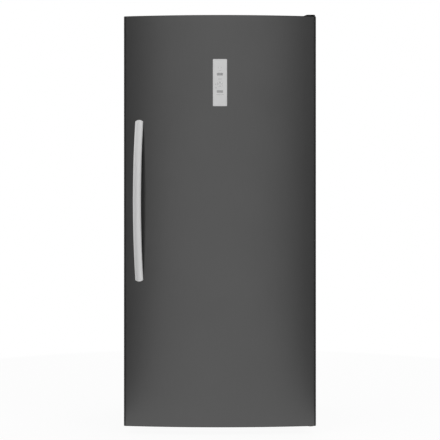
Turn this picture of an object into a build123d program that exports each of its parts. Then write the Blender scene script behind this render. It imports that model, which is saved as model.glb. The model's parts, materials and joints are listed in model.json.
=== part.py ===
from build123d import *
import math
import os

# Upright freezer, full-height bowed door hung on the right, long bowed bar handle on the left.
# Frame: millimetres, +Z up, the door faces -Y, +X is to the right of someone facing the door.
# The origin is on the floor, under the middle of the whole outline (handle included).

os.makedirs("parts", exist_ok=True)

# ---------------------------------------------------------------- driving dimensions
WIDTH = 838.0              # cabinet and door
CABINET_DEPTH = 620.0      # cabinet box, without the door
DOOR_HEIGHT = 1785.0
DOOR_LIFT = 36.0           # floor to the lower edge of the door
DOOR_EDGE = 62.0           # door thickness at its side edges
DOOR_BOW = 30.0            # how far the middle of the door stands in front of its corners
DOOR_CORNER_RADIUS = 7.0
GASKET_GAP = 11.0          # door back to cabinet front
TOP_DROP = 6.0             # door top down to cabinet top

SHEET = 1.0                # steel sheet of every panel
LINER = 2.0                # vacuum-formed plastic
SIDE_FOAM = 60.0
TOP_FOAM = 60.0
FLOOR_FOAM = 59.0
BACK_FOAM = 58.0
STEP_FOAM = 55.0           # foam round the machine compartment
FOAM_GAP = 0.2             # liner to foam, where both are curved
PLAY = 0.3                 # between pieces that rest on or beside each other
RUNNING = 0.05             # radial clearance of a shaft in its bore

HANDLE_X = -349.0
HANDLE_MIDDLE = 1017.0     # height of the handle's middle
HANDLE_LENGTH = 700.0
HANDLE_REACH = 68.0        # door face to the front of the bar, at its middle
HANDLE_WIDTH = 34.0
HANDLE_THICK = 15.0
HANDLE_SIDE = 10.5         # thickness of the bar at its long edges

SHELF_COUNT = 4
SHELF_FIRST = 318.0
BIN_COUNT = 4
BIN_FIRST = 152.0
BIN_HEIGHT = 98.0

PANEL_WIDTH = 61.5
PANEL_HEIGHT = 204.0
PANEL_DROP = 293.0         # door top down to the panel's middle

# ---------------------------------------------------------------- worked-out places
HALF = WIDTH / 2
BOW_RADIUS = HALF**2 / (2 * DOOR_BOW) + DOOR_BOW / 2


def bow_at(x):
    """How far the door's face stands in front of its corners at x."""
    return math.sqrt(BOW_RADIUS**2 - x**2) - (BOW_RADIUS - DOOR_BOW)


CROWN = HANDLE_THICK - HANDLE_SIDE
CROWN_RADIUS = (HANDLE_WIDTH / 2) ** 2 / (2 * CROWN) + CROWN / 2
HANDLE_LEAN = math.asin(HANDLE_X / BOW_RADIUS)
HANDLE_FRONT = bow_at(HANDLE_X) + (HANDLE_REACH - CROWN_RADIUS) * math.cos(HANDLE_LEAN) + CROWN_RADIUS

BACK = (CABINET_DEPTH + GASKET_GAP + DOOR_EDGE + HANDLE_FRONT) / 2
FRONT = BACK - CABINET_DEPTH             # the cabinet's front face
DOOR_BACK = FRONT - GASKET_GAP
DOOR_CORNER = DOOR_BACK - DOOR_EDGE      # the door's front, at its corners
DOOR_FRONT = DOOR_CORNER - DOOR_BOW      # the door's front, in its middle
BOW_CENTRE = DOOR_FRONT + BOW_RADIUS

DOOR_TOP = DOOR_LIFT + DOOR_HEIGHT
TOP = DOOR_TOP - TOP_DROP                # cabinet top
PANEL_MIDDLE = DOOR_TOP - PANEL_DROP
WASHER = 2.5                             # door bottom to the lower hinge plate
BOTTOM = DOOR_LIFT - WASHER              # underside of the cabinet

CAVITY_HALF = HALF - SHEET - SIDE_FOAM - LINER
CAVITY_TOP = TOP - SHEET - TOP_FOAM - LINER
CAVITY_FLOOR = BOTTOM + SHEET + FLOOR_FOAM + LINER
PANEL_RECESS = 3.0                       # back panel in from the cabinet's rear edge
CAVITY_BACK = BACK - PANEL_RECESS - SHEET - BACK_FOAM - LINER
FLANGE_GAP = 10.0                        # cavity edge to the steel front flange
FLANGE_EDGE = CAVITY_HALF + FLANGE_GAP

COMPARTMENT_DEPTH = 205.0
COMPARTMENT_TOP = 232.0
STEP_Y = BACK - COMPARTMENT_DEPTH        # front wall of the machine compartment
HUMP_FRONT = STEP_Y - SHEET - STEP_FOAM - LINER
HUMP_TOP = COMPARTMENT_TOP + SHEET + STEP_FOAM + LINER

HINGE_X = HALF - 22.0
HINGE_Y = DOOR_CORNER + 30.0
PIN_RADIUS = 5.0
PIN_INTO_DOOR = 22.0

DUCT_DEPTH = 56.0                        # cavity back to the face of the air duct
DUCT_FRONT = CAVITY_BACK - DUCT_DEPTH
BIN_FACE = FRONT + 77.0                  # how far the door bins reach into the cavity
SHELF_FRONT = FRONT + 95.0
SHELF_BACK = DUCT_FRONT - 4.0
SHELF_PITCH = (CAVITY_TOP - SHELF_FIRST - 14.0) / SHELF_COUNT
BIN_PITCH = (CAVITY_TOP - BIN_FIRST) / BIN_COUNT
LEDGE = 12.0                             # how far the shelf ledges stand out of the wall


def write(piece, name):
    """Labels a finished piece and writes it to its own file."""
    piece.part.label = name
    export_step(piece.part, f"parts/{name}.step")


def block(x0, x1, y0, y1, z0, z1, mode=Mode.ADD):
    """A box given by its limits, in the part that is being built."""
    with Locations(((x0 + x1) / 2, (y0 + y1) / 2, (z0 + z1) / 2)):
        Box(x1 - x0, y1 - y0, z1 - z0, mode=mode)


def post(x, y, z0, z1, radius, mode=Mode.ADD):
    """An upright cylinder between two heights."""
    with Locations((x, y, z0)):
        Cylinder(radius, z1 - z0, align=(Align.CENTER, Align.CENTER, Align.MIN), mode=mode)


SIDES = 12                               # flats of the round forms that nothing turns on or in


def prism(plane, x, y, radius, length, mode=Mode.ADD, sides=SIDES):
    """A many-sided prism on a plane: a solid stays within its radius, a hole stays outside it."""
    with BuildSketch(plane) as outline:
        with Locations((x, y)):
            RegularPolygon(radius, sides, major_radius=mode != Mode.SUBTRACT)
    extrude(outline.sketch, amount=length, mode=mode)


def prism_z(x, y, z0, z1, radius, mode=Mode.ADD, sides=SIDES):
    """An upright prism between two heights."""
    prism(Plane.XY.offset(z0), x, y, radius, z1 - z0, mode, sides)


def prism_y(x, z, y0, y1, radius, mode=Mode.ADD, sides=SIDES):
    """A prism along Y between two depths."""
    prism(Plane.XZ.offset(-y0), x, z, radius, y0 - y1, mode, sides)


def prism_x(y, z, x0, x1, radius, mode=Mode.ADD, sides=SIDES):
    """A prism along X between two places."""
    prism(Plane.YZ.offset(x0), y, z, radius, x1 - x0, mode, sides)


def screw_hole(x, y, z0, z1):
    """An upright clearance hole for a screw."""
    prism_z(x, y, z0, z1, SCREW_HOLE, Mode.SUBTRACT, SCREW_SIDES)


def rod_y(x, z, y0, y1, radius, mode=Mode.ADD):
    """A cylinder along Y between two depths."""
    with Locations((x, (y0 + y1) / 2, z)):
        Cylinder(radius, y1 - y0, rotation=(90, 0, 0), mode=mode)


def rod_x(y, z, x0, x1, radius, mode=Mode.ADD):
    """A cylinder along X between two places."""
    with Locations(((x0 + x1) / 2, y, z)):
        Cylinder(radius, x1 - x0, rotation=(0, 90, 0), mode=mode)


# ---------------------------------------------------------------- where the fasteners and tubes go
SCREW_RADIUS = 2.5
SCREW_HOLE = 2.7
SCREW_SIDES = 8
HINGE_SCREWS = [(HALF - 32.0, FRONT + 26.0), (HALF - 12.0, FRONT + 26.0), (HALF - 22.0, FRONT + 58.0)]
HINGE_SCREW_DEPTH = 14.0

SIDE_HEM = 12.0                          # rear edge of a side panel, folded inwards
COVER_HALF = HALF - SIDE_HEM - 2.0       # the machine compartment's cover
COVER_BOTTOM = BOTTOM + 5.0
COVER_TOP = 256.0
COVER_SCREWS = [(x, z) for x in (-COVER_HALF + 14.0, COVER_HALF - 14.0)
                for z in (COVER_BOTTOM + 4.5, COVER_TOP - 12.0)]

LEG_X = 340.0
LEG_Y = FRONT + 110.0
LEG_STUD = 5.0
LEG_STUD_TOP = 72.0
WELD_NUT_RADIUS = 9.0
WELD_NUT_TOP = BOTTOM + 17.0

EVAPORATOR_Y = CAVITY_BACK - 22.0
EVAPORATOR_Z = HUMP_TOP + 46.0
EVAPORATOR_HALF = 285.0
TUBE_RADIUS = 4.0
TUBE_GAP = 0.3                           # a tube in a hole through sheet or foam
SUCTION_X = -308.0
DRAIN_X = 60.0
DRAIN_Y = CAVITY_BACK - 40.0
DRAIN_RADIUS = 8.0
SERVICE_HOLES = [                        # through the step over the machine compartment
    (SUCTION_X, EVAPORATOR_Y, TUBE_RADIUS + TUBE_GAP),
    (DRAIN_X, DRAIN_Y, DRAIN_RADIUS + TUBE_GAP),
]

# ---------------------------------------------------------------- cabinet: side panels
BEND = 3.0                               # outside radius of the folded steel


def side_panel(side):
    """One side wall, its front flange and rear hem folded inwards; side is 1 on the right, -1 on the left."""
    with BuildPart() as panel:
        with BuildSketch(Plane.XY.offset(BOTTOM)):
            with BuildLine():
                path = FilletPolyline(
                    (side * FLANGE_EDGE, FRONT),
                    (side * HALF, FRONT),
                    (side * HALF, BACK),
                    (side * (HALF - SIDE_HEM), BACK),
                    radius=BEND,
                )
                offset(path, amount=SHEET, side=Side.LEFT if side > 0 else Side.RIGHT)
            make_face()
        extrude(amount=TOP - SHEET - BOTTOM)
    return panel


write(side_panel(-1), "side_panel_left")
write(side_panel(1), "side_panel_right")

# ---------------------------------------------------------------- cabinet: top panel
with BuildPart() as top_panel:
    block(-HALF, HALF, FRONT, BACK, TOP - SHEET, TOP)
    fillet(top_panel.edges().filter_by(Axis.Z), BEND)
    block(-FLANGE_EDGE, FLANGE_EDGE, FRONT, FRONT + SHEET, CAVITY_TOP + FLANGE_GAP, TOP - SHEET / 2)
    for x, y in HINGE_SCREWS:
        screw_hole(x, y, TOP - 2 * SHEET, TOP + SHEET)
write(top_panel, "top_panel")

# ---------------------------------------------------------------- cabinet: base pan with its step
with BuildPart() as base_pan:
    with BuildSketch(Plane.YZ):
        with BuildLine():
            floor_path = Polyline(
                (FRONT + BEND, BOTTOM + SHEET),
                (STEP_Y - SHEET, BOTTOM + SHEET),
                (STEP_Y - SHEET, COMPARTMENT_TOP + SHEET),
                (BACK - PANEL_RECESS - SHEET, COMPARTMENT_TOP + SHEET),
            )
            offset(floor_path, amount=SHEET, side=Side.RIGHT)
        make_face()
    extrude(amount=HALF - SHEET - FOAM_GAP, both=True)
    block(
        -FLANGE_EDGE + FOAM_GAP, FLANGE_EDGE - FOAM_GAP, FRONT, FRONT + SHEET, BOTTOM,
        CAVITY_FLOOR - FLANGE_GAP,
    )
    block(
        -FLANGE_EDGE + FOAM_GAP, FLANGE_EDGE - FOAM_GAP, FRONT, FRONT + BEND + SHEET, BOTTOM,
        BOTTOM + SHEET,
    )
    for side in (-1, 1):
        prism_z(side * LEG_X, LEG_Y, BOTTOM, WELD_NUT_TOP, WELD_NUT_RADIUS, sides=6)
        post(side * LEG_X, LEG_Y, BOTTOM - SHEET, WELD_NUT_TOP + SHEET, LEG_STUD + RUNNING, Mode.SUBTRACT)
    for x, y in HINGE_SCREWS:
        screw_hole(x, y, BOTTOM - SHEET, BOTTOM + 2 * SHEET)
    for x, y, radius in SERVICE_HOLES:
        prism_z(x, y, COMPARTMENT_TOP - SHEET, COMPARTMENT_TOP + 2 * SHEET, radius, Mode.SUBTRACT)
write(base_pan, "base_pan")

# ---------------------------------------------------------------- cabinet: back panel with pressed beads
BEAD_COUNT = 5
BEAD_WIDTH = 26.0
BEAD_HEIGHT = 2.0
BEAD_MARGIN = 90.0                       # bead end to the edge of the panel
with BuildPart() as back_panel:
    block(
        -HALF + SHEET + FOAM_GAP, HALF - SHEET - FOAM_GAP, BACK - PANEL_RECESS - SHEET, BACK - PANEL_RECESS,
        COMPARTMENT_TOP, TOP - SHEET - FOAM_GAP,
    )
    bead_length = TOP - COVER_TOP - 2 * BEAD_MARGIN
    with BuildSketch(Plane.XZ.offset(-(BACK - PANEL_RECESS))):
        with Locations((0, (TOP + COVER_TOP) / 2)):
            with GridLocations(WIDTH / (BEAD_COUNT + 1), 1, BEAD_COUNT, 1):
                Rectangle(BEAD_WIDTH, bead_length)
    extrude(amount=-BEAD_HEIGHT, taper=45)
    with BuildSketch(Plane.XZ.offset(-BACK + 2 * PANEL_RECESS)):
        with Locations(*COVER_SCREWS):
            RegularPolygon(SCREW_HOLE, SCREW_SIDES, major_radius=False)
    extrude(amount=-2 * PANEL_RECESS, mode=Mode.SUBTRACT)
write(back_panel, "back_panel")

# ---------------------------------------------------------------- cabinet: cavity, liner and insulation
CORNER = 25.0                            # liner corners seen from the side
WALL_EDGE = 9.0                          # bevel of the liner's corners along the side walls
HUMP_ROUND = 15.0
SAME_PLACE = 1e-3                        # points closer than this count as one place


def cavity_form(grow, wall_edge):
    """The storage space with its step at the back, grown by grow; wall_edge bevels its side edges."""
    with BuildPart() as form:
        with BuildSketch(Plane.YZ) as section:
            with BuildLine():
                Polyline(
                    (FRONT, CAVITY_FLOOR - grow),
                    (HUMP_FRONT + grow, CAVITY_FLOOR - grow),
                    (HUMP_FRONT + grow, HUMP_TOP - grow),
                    (CAVITY_BACK + grow, HUMP_TOP - grow),
                    (CAVITY_BACK + grow, CAVITY_TOP + grow),
                    (FRONT, CAVITY_TOP + grow),
                    close=True,
                )
            make_face()
            inner = section.vertices().filter_by(lambda v: v.X > FRONT + 1)
            nose = inner.filter_by(lambda v: v.X < CAVITY_BACK - 1 and v.Y > HUMP_TOP - grow - 1)
            fillet(inner - nose, CORNER + grow)
            step_top = section.vertices().filter_by(lambda v: abs(v.Y - HUMP_TOP + grow) < SAME_PLACE)
            fillet(step_top.sort_by(Axis.X)[0], HUMP_ROUND - grow)
        extrude(amount=CAVITY_HALF + grow, both=True)
        if wall_edge:
            sides = form.faces().filter_by(Axis.X)
            chamfer(sides.edges().filter_by(lambda e: e.center().Y > FRONT + 1), wall_edge)
    return form.part


LEDGE_LENGTH = SHELF_BACK - SHELF_FRONT - 21.0
LEDGE_HEIGHT = 9.0
LEDGE_LEVELS = 2 * SHELF_COUNT - 1
RAIL_TOP = CAVITY_FLOOR + 156.0          # runner that the basket's rim slides on
RAIL_WIDTH = 19.0
RAIL_HEIGHT = 6.0
RAIL_FRONT = FRONT + 58.0

with BuildPart() as liner:
    add(cavity_form(LINER, WALL_EDGE))
    block(
        -FLANGE_EDGE, FLANGE_EDGE, FRONT, FRONT + LINER, CAVITY_FLOOR - FLANGE_GAP, CAVITY_TOP + FLANGE_GAP,
    )
    add(cavity_form(0, WALL_EDGE), mode=Mode.SUBTRACT)
    for side in (-1, 1):
        wall = side * (CAVITY_HALF + LINER / 2)
        for level in range(LEDGE_LEVELS):
            ledge_top = SHELF_FIRST + level * SHELF_PITCH / 2
            inner = side * (CAVITY_HALF - LEDGE)
            block(
                min(wall, inner), max(wall, inner), SHELF_FRONT + PLAY, SHELF_FRONT + LEDGE_LENGTH,
                ledge_top - LEDGE_HEIGHT, ledge_top,
            )
        inner = side * (CAVITY_HALF - RAIL_WIDTH)
        block(
            min(wall, inner), max(wall, inner), RAIL_FRONT, HUMP_FRONT - CORNER, RAIL_TOP - RAIL_HEIGHT,
            RAIL_TOP,
        )
    for x, y, radius in SERVICE_HOLES:
        prism_z(x, y, HUMP_TOP - 2 * LINER, HUMP_TOP + LINER, radius, Mode.SUBTRACT)
write(liner, "liner")

with BuildPart() as insulation:
    block(
        -HALF + SHEET, HALF - SHEET, FRONT + SHEET, BACK - PANEL_RECESS - SHEET, BOTTOM + SHEET, TOP - SHEET,
    )
    fillet(insulation.edges().filter_by(Axis.Z).group_by(Axis.Y)[0], BEND)
    block(-HALF, HALF, STEP_Y - SHEET, BACK, BOTTOM, COMPARTMENT_TOP + SHEET, Mode.SUBTRACT)
    block(
        -FLANGE_EDGE - FOAM_GAP, FLANGE_EDGE + FOAM_GAP, FRONT, FRONT + LINER + FOAM_GAP,
        CAVITY_FLOOR - FLANGE_GAP - FOAM_GAP, CAVITY_TOP + FLANGE_GAP + FOAM_GAP, Mode.SUBTRACT,
    )
    add(cavity_form(LINER + FOAM_GAP, 0), mode=Mode.SUBTRACT)
    for side in (-1, 1):
        prism_z(side * LEG_X, LEG_Y, BOTTOM, LEG_STUD_TOP + 8.0, WELD_NUT_RADIUS + FOAM_GAP, Mode.SUBTRACT, 6)
    for x, y in HINGE_SCREWS:
        screw_hole(x, y, TOP - SHEET - HINGE_SCREW_DEPTH - 1, TOP)
        screw_hole(x, y, BOTTOM, BOTTOM + SHEET + HINGE_SCREW_DEPTH + 1)
    for x, y, radius in SERVICE_HOLES:
        prism_z(x, y, COMPARTMENT_TOP, HUMP_TOP, radius, Mode.SUBTRACT)
write(insulation, "insulation")

# ---------------------------------------------------------------- cavity: air duct cover
DUCT_HALF = 330.0
DUCT_WALL = 2.5
DUCT_BOTTOM = HUMP_TOP + 3.5
DUCT_TOP = CAVITY_TOP - 40.0
SLOT_LENGTH = 130.0
SLOT_WIDTH = 9.0
INTAKE_COUNT = 12
INTAKE_LENGTH = 70.0
INTAKE_Z = DUCT_BOTTOM + 62.0
VENT_DROP = 70.0                         # air slots below the shelf above them
DUCT_EDGE = 2.0
with BuildPart() as duct_cover:
    block(-DUCT_HALF, DUCT_HALF, DUCT_FRONT, CAVITY_BACK, DUCT_BOTTOM, DUCT_TOP)
    chamfer(duct_cover.faces().sort_by(Axis.Y)[0].edges().sort_by(Axis.Z)[1:], DUCT_EDGE)
    block(
        -DUCT_HALF + DUCT_WALL, DUCT_HALF - DUCT_WALL, DUCT_FRONT + DUCT_WALL, CAVITY_BACK + 1,
        DUCT_BOTTOM - 1, DUCT_TOP - DUCT_WALL, Mode.SUBTRACT,
    )
    block(
        -DUCT_HALF - 1, DUCT_HALF + 1, CAVITY_BACK - CORNER - 1, CAVITY_BACK + 1, DUCT_BOTTOM - 1,
        HUMP_TOP + CORNER + 1, Mode.SUBTRACT,
    )
    with BuildSketch(Plane.XZ.offset(-DUCT_FRONT + 1)):
        for level in range(1, SHELF_COUNT + 1):
            with Locations((0, SHELF_FIRST + level * SHELF_PITCH - VENT_DROP)):
                with GridLocations(2 * SLOT_LENGTH, 1, 2, 1):
                    Rectangle(SLOT_LENGTH, SLOT_WIDTH)
        with Locations((0, INTAKE_Z)):
            with GridLocations(2.4 * SLOT_WIDTH, 1, INTAKE_COUNT, 1):
                Rectangle(SLOT_WIDTH, INTAKE_LENGTH)
    extrude(amount=-2 * DUCT_WALL, mode=Mode.SUBTRACT)
write(duct_cover, "duct_cover")

# ---------------------------------------------------------------- cavity: evaporator, heater and fan
COIL_RUNS = 4
COIL_PITCH = 48.0
COIL_SIDES = 6                           # the tubes are drawn with six flats
FIN_COUNT = 18
FIN_THICK = 0.8
FIN_INSET = 12.0                         # last fin to the end of the coil's straight runs
FIN_FRONT = DUCT_FRONT + 6.0
FIN_BACK = CAVITY_BACK - PLAY


def serpentine(half, pitch, runs, plane):
    """A tube path of straight runs joined by three-sided turns, in the given plane, from its lower left."""
    points = []
    for run in range(runs):
        z = run * pitch
        heading = 1 if run % 2 == 0 else -1
        points += [(-heading * half, z), (heading * half, z)]
        if run < runs - 1:
            turn = heading * (half + 0.35 * pitch)
            points += [(turn, z + 0.3 * pitch), (turn, z + 0.7 * pitch)]
    with BuildLine(plane) as path:
        Polyline(*points)
    return path


with BuildPart() as evaporator_coil:
    coil_plane = Plane(origin=(0, EVAPORATOR_Y, EVAPORATOR_Z), x_dir=(1, 0, 0), z_dir=(0, -1, 0))
    coil_path = serpentine(EVAPORATOR_HALF, COIL_PITCH, COIL_RUNS, coil_plane)
    with BuildSketch(Plane(coil_path.wires()[0] ^ 0)):
        RegularPolygon(TUBE_RADIUS, COIL_SIDES)
    sweep(path=coil_path.wires()[0], transition=Transition.RIGHT)
write(evaporator_coil, "evaporator_coil")

FIN_BOTTOM = EVAPORATOR_Z - COIL_PITCH / 2
FIN_TOP = EVAPORATOR_Z + (COIL_RUNS - 0.5) * COIL_PITCH
with BuildPart() as evaporator_fins:
    with Locations((0, (FIN_FRONT + FIN_BACK) / 2, (FIN_BOTTOM + FIN_TOP) / 2)):
        with GridLocations(2 * (EVAPORATOR_HALF - FIN_INSET) / (FIN_COUNT - 1), 1, FIN_COUNT, 1):
            Box(FIN_THICK, FIN_BACK - FIN_FRONT, FIN_TOP - FIN_BOTTOM)
write(evaporator_fins, "evaporator_fins")

HEATER_RADIUS = 3.5
HEATER_END = 5.5                         # radius of the heater's end caps
HEATER_END_IN = 8.0                      # how far an end cap reaches over the rod, and past it
HEATER_END_OUT = 14.0
with BuildPart() as defrost_heater:
    heater_z = FIN_BOTTOM - HEATER_RADIUS - PLAY
    prism_x(EVAPORATOR_Y, heater_z, -EVAPORATOR_HALF, EVAPORATOR_HALF, HEATER_RADIUS, sides=COIL_SIDES)
    for side in (-1, 1):
        cap_ends = (side * (EVAPORATOR_HALF - HEATER_END_IN), side * (EVAPORATOR_HALF + HEATER_END_OUT))
        prism_x(EVAPORATOR_Y, heater_z, min(cap_ends), max(cap_ends), HEATER_END, sides=COIL_SIDES)
write(defrost_heater, "defrost_heater")

EVAP_FAN_Z = FIN_TOP + 78.0
EVAP_FAN_RADIUS = 50.0
MOTOR_RADIUS = 22.0
SHAFT_RADIUS = 2.5
EVAP_MOTOR_FRONT = CAVITY_BACK - 18.0
HUB_RADIUS = 13.0
HUB_LENGTH = 14.0
SHAFT_PAST = 2.0                         # shaft end past the hub
FAN_GAP = 2.0                            # motor face to hub

COMP_X = -205.0                          # compressor
COMP_Y = BACK - 108.0
COMP_RADIUS = 72.0
COND_FAN_Y = BACK - 112.0
COND_FAN_Z = 122.0
COND_FAN_RADIUS = 58.0
COND_MOTOR_START = COMP_X + COMP_RADIUS + 15.0
COND_MOTOR_END = COND_MOTOR_START + 30.0

BLADE_THICK = 1.6
BLADE_PITCH = 30.0


def fan_blades(radius, blades, width, plane, bore):
    """An axial fan: a hub bored for its shaft, and pitched blades that widen towards the tip."""
    lean = math.radians(BLADE_PITCH)
    root = HUB_RADIUS - 2.0
    chord = 0.95 * (width - BLADE_THICK) / math.sin(lean)
    with BuildPart() as fan:
        prism(plane, 0, 0, HUB_RADIUS, width)
        for blade in range(blades):
            turn = 2 * math.pi * blade / blades
            outward = plane.x_dir * math.cos(turn) + plane.y_dir * math.sin(turn)
            around = plane.y_dir * math.cos(turn) - plane.x_dir * math.sin(turn)
            across = around * math.cos(lean) + plane.z_dir * math.sin(lean)
            middle = plane.origin + plane.z_dir * (width / 2)
            with BuildSketch(Plane(origin=middle, x_dir=outward, z_dir=outward.cross(across))):
                with BuildLine():
                    Polyline(
                        (root, -0.25 * chord), (radius, -0.5 * chord), (radius, 0.5 * chord),
                        (root, 0.25 * chord), close=True,
                    )
                make_face()
            extrude(amount=BLADE_THICK / 2, both=True)
        with BuildSketch(plane):
            Circle(bore)
        extrude(amount=width, mode=Mode.SUBTRACT)
    return fan


evap_fan_plane = Plane(
    origin=(0, EVAP_MOTOR_FRONT - FAN_GAP, EVAP_FAN_Z), x_dir=(1, 0, 0), z_dir=(0, -1, 0),
)
write(fan_blades(EVAP_FAN_RADIUS, 5, HUB_LENGTH, evap_fan_plane, SHAFT_RADIUS + RUNNING), "evaporator_fan")

with BuildPart() as fan_motors:
    prism_y(0, EVAP_FAN_Z, EVAP_MOTOR_FRONT, CAVITY_BACK, MOTOR_RADIUS)
    shaft = FAN_GAP + HUB_LENGTH + SHAFT_PAST
    rod_y(0, EVAP_FAN_Z, EVAP_MOTOR_FRONT - shaft, EVAP_MOTOR_FRONT + 1, SHAFT_RADIUS)
    prism_x(COND_FAN_Y, COND_FAN_Z, COND_MOTOR_START, COND_MOTOR_END, MOTOR_RADIUS)
    rod_x(COND_FAN_Y, COND_FAN_Z, COND_MOTOR_END - 1, COND_MOTOR_END + shaft, SHAFT_RADIUS)
write(fan_motors, "fan_motors")

cond_fan_plane = Plane(
    origin=(COND_MOTOR_END + FAN_GAP, COND_FAN_Y, COND_FAN_Z), x_dir=(0, 1, 0), z_dir=(1, 0, 0),
)
write(fan_blades(COND_FAN_RADIUS, 5, HUB_LENGTH, cond_fan_plane, SHAFT_RADIUS + RUNNING), "condenser_fan")

# ---------------------------------------------------------------- machine compartment: rail and rollers
RAIL_SHEET = 1.5
RAIL_HALF = HALF - SHEET - FOAM_GAP
RAIL_START = BACK - 195.0
RAIL_END = BACK - PANEL_RECESS
ROLLER_X = 382.0
ROLLER_Y = BACK - 60.0
ROLLER_RADIUS = 15.0
ROLLER_HALF = 8.0
ROLLER_SIDES = 18
AXLE_RADIUS = 3.0
EAR_GAP = 1.5                            # roller side to ear
EAR_THICK = 2.5
EAR_RADIUS = 8.0
RAIL_LIP = 14.0                          # height of the rail's folded edges
DECK = BOTTOM + RAIL_SHEET               # what the compressor stands on
with BuildPart() as machine_rail:
    block(-RAIL_HALF, RAIL_HALF, RAIL_START, RAIL_END, BOTTOM, DECK)
    for y0 in (RAIL_START, RAIL_END - RAIL_SHEET):
        block(-RAIL_HALF, RAIL_HALF, y0, y0 + RAIL_SHEET, BOTTOM, BOTTOM + RAIL_LIP)
    for side in (-1, 1):
        for ear in (-1, 1):
            middle = side * ROLLER_X + ear * (ROLLER_HALF + EAR_GAP + EAR_THICK / 2)
            with BuildSketch(Plane.YZ.offset(middle - EAR_THICK / 2)):
                with Locations((ROLLER_Y, ROLLER_RADIUS)):
                    RegularPolygon(EAR_RADIUS, 8, major_radius=False, rotation=22.5)
                with Locations((ROLLER_Y, (BOTTOM + ROLLER_RADIUS) / 2)):
                    Rectangle(2 * EAR_RADIUS, BOTTOM - ROLLER_RADIUS + 0.2)
            extrude(amount=EAR_THICK)
        reach = ROLLER_HALF + EAR_GAP + EAR_THICK
        rod_x(ROLLER_Y, ROLLER_RADIUS, side * ROLLER_X - reach, side * ROLLER_X + reach, AXLE_RADIUS)
    with BuildSketch(Plane.XZ.offset(-RAIL_END + 2 * RAIL_SHEET)):
        with Locations(*COVER_SCREWS):
            RegularPolygon(SCREW_HOLE, SCREW_SIDES, major_radius=False)
    extrude(amount=-3 * RAIL_SHEET, mode=Mode.SUBTRACT)
write(machine_rail, "machine_rail")

for side, name in ((-1, "roller_left"), (1, "roller_right")):
    with BuildPart() as roller:
        start = side * ROLLER_X - ROLLER_HALF
        end = side * ROLLER_X + ROLLER_HALF
        prism_x(ROLLER_Y, ROLLER_RADIUS, start, end, ROLLER_RADIUS, sides=ROLLER_SIDES)
        rod_x(ROLLER_Y, ROLLER_RADIUS, start, end, AXLE_RADIUS + RUNNING, Mode.SUBTRACT)
    write(roller, name)

# ---------------------------------------------------------------- machine compartment: compressor
GROMMET_HEIGHT = 10.0
COMP_FOOT = DECK + GROMMET_HEIGHT
SEAM_Z = COMP_FOOT + 82.0
COMP_TOP = COMP_FOOT + 162.0
STUB_Z = COMP_TOP - 45.0
LINE_RADIUS = TUBE_RADIUS
DISCHARGE_Y = BACK - 24.0
DISCHARGE_X = COMP_X + 20.0
FOOT_SHEET = 3.0
SEAM_HALF = 3.0                          # the welded seam round the pot
SEAM_PROUD = 4.0
POT_SIDES = 12
POT_BASE = COMP_FOOT + 18.0              # where the pot's walls start
SHOULDER = COMP_TOP - 30.0               # and where its lid curves in
CROWN_Z = COMP_TOP - 8.0
LID_RADIUS = COMP_RADIUS - 1.0
POT_RINGS = [                            # from, to, radius at each
    (COMP_FOOT + FOOT_SHEET, POT_BASE, COMP_RADIUS - 18.0, COMP_RADIUS),
    (POT_BASE, SEAM_Z - SEAM_HALF, COMP_RADIUS, COMP_RADIUS),
    (SEAM_Z - SEAM_HALF, SEAM_Z + SEAM_HALF, COMP_RADIUS + SEAM_PROUD, COMP_RADIUS + SEAM_PROUD),
    (SEAM_Z + SEAM_HALF, SHOULDER, LID_RADIUS, LID_RADIUS),
    (SHOULDER, CROWN_Z, LID_RADIUS, COMP_RADIUS - 16.0),
    (CROWN_Z, COMP_TOP, COMP_RADIUS - 16.0, COMP_RADIUS - 44.0),
]
FOOT_SIZE = (170.0, 120.0)
GROMMET_GRID = (146.0, 96.0, 2, 2)
GROMMET_RADIUS = 9.0
GROMMET_NECK = 4.0
STUB_INSIDE = 20.0                       # where a tube stub starts, from the pot's middle
SUCTION_STUB = COMP_RADIUS + 8.0
DISCHARGE_STUB = COMP_RADIUS + 5.0
BOX_HALF = 30.0                          # the terminal box on the pot's front
BOX_OUT = COMP_RADIUS + 18.0
BOX_BOTTOM = SEAM_Z - 50.0
BOX_TOP = SEAM_Z - 5.0
with BuildPart() as compressor:
    for z0, z1, radius0, radius1 in POT_RINGS:
        with BuildSketch(Plane.XY.offset(z0)):
            with Locations((COMP_X, COMP_Y)):
                RegularPolygon(radius0, POT_SIDES, major_radius=False)
        extrude(amount=z1 - z0, taper=math.degrees(math.atan2(radius0 - radius1, z1 - z0)))
    with BuildSketch(Plane.XY.offset(COMP_FOOT)):
        with Locations((COMP_X, COMP_Y)):
            Rectangle(*FOOT_SIZE)
            with GridLocations(*GROMMET_GRID):
                RegularPolygon(GROMMET_NECK + FOAM_GAP, 8, major_radius=False, mode=Mode.SUBTRACT)
    extrude(amount=FOOT_SHEET)
    block(
        COMP_X - BOX_HALF, COMP_X + BOX_HALF, COMP_Y - BOX_OUT, COMP_Y - COMP_RADIUS + STUB_INSIDE,
        BOX_BOTTOM, BOX_TOP,
    )
    prism_x(EVAPORATOR_Y, STUB_Z, COMP_X - SUCTION_STUB, COMP_X - STUB_INSIDE, LINE_RADIUS, sides=COIL_SIDES)
    prism_y(DISCHARGE_X, STUB_Z, COMP_Y + STUB_INSIDE, COMP_Y + DISCHARGE_STUB, LINE_RADIUS, sides=COIL_SIDES)
write(compressor, "compressor")

with BuildPart() as compressor_grommets:
    for radius, height in ((GROMMET_RADIUS, GROMMET_HEIGHT), (GROMMET_NECK, GROMMET_HEIGHT + 2 * FOOT_SHEET)):
        with BuildSketch(Plane.XY.offset(DECK)):
            with Locations((COMP_X, COMP_Y)):
                with GridLocations(*GROMMET_GRID):
                    RegularPolygon(radius, 8)
        extrude(amount=height)
write(compressor_grommets, "compressor_grommets")

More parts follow.
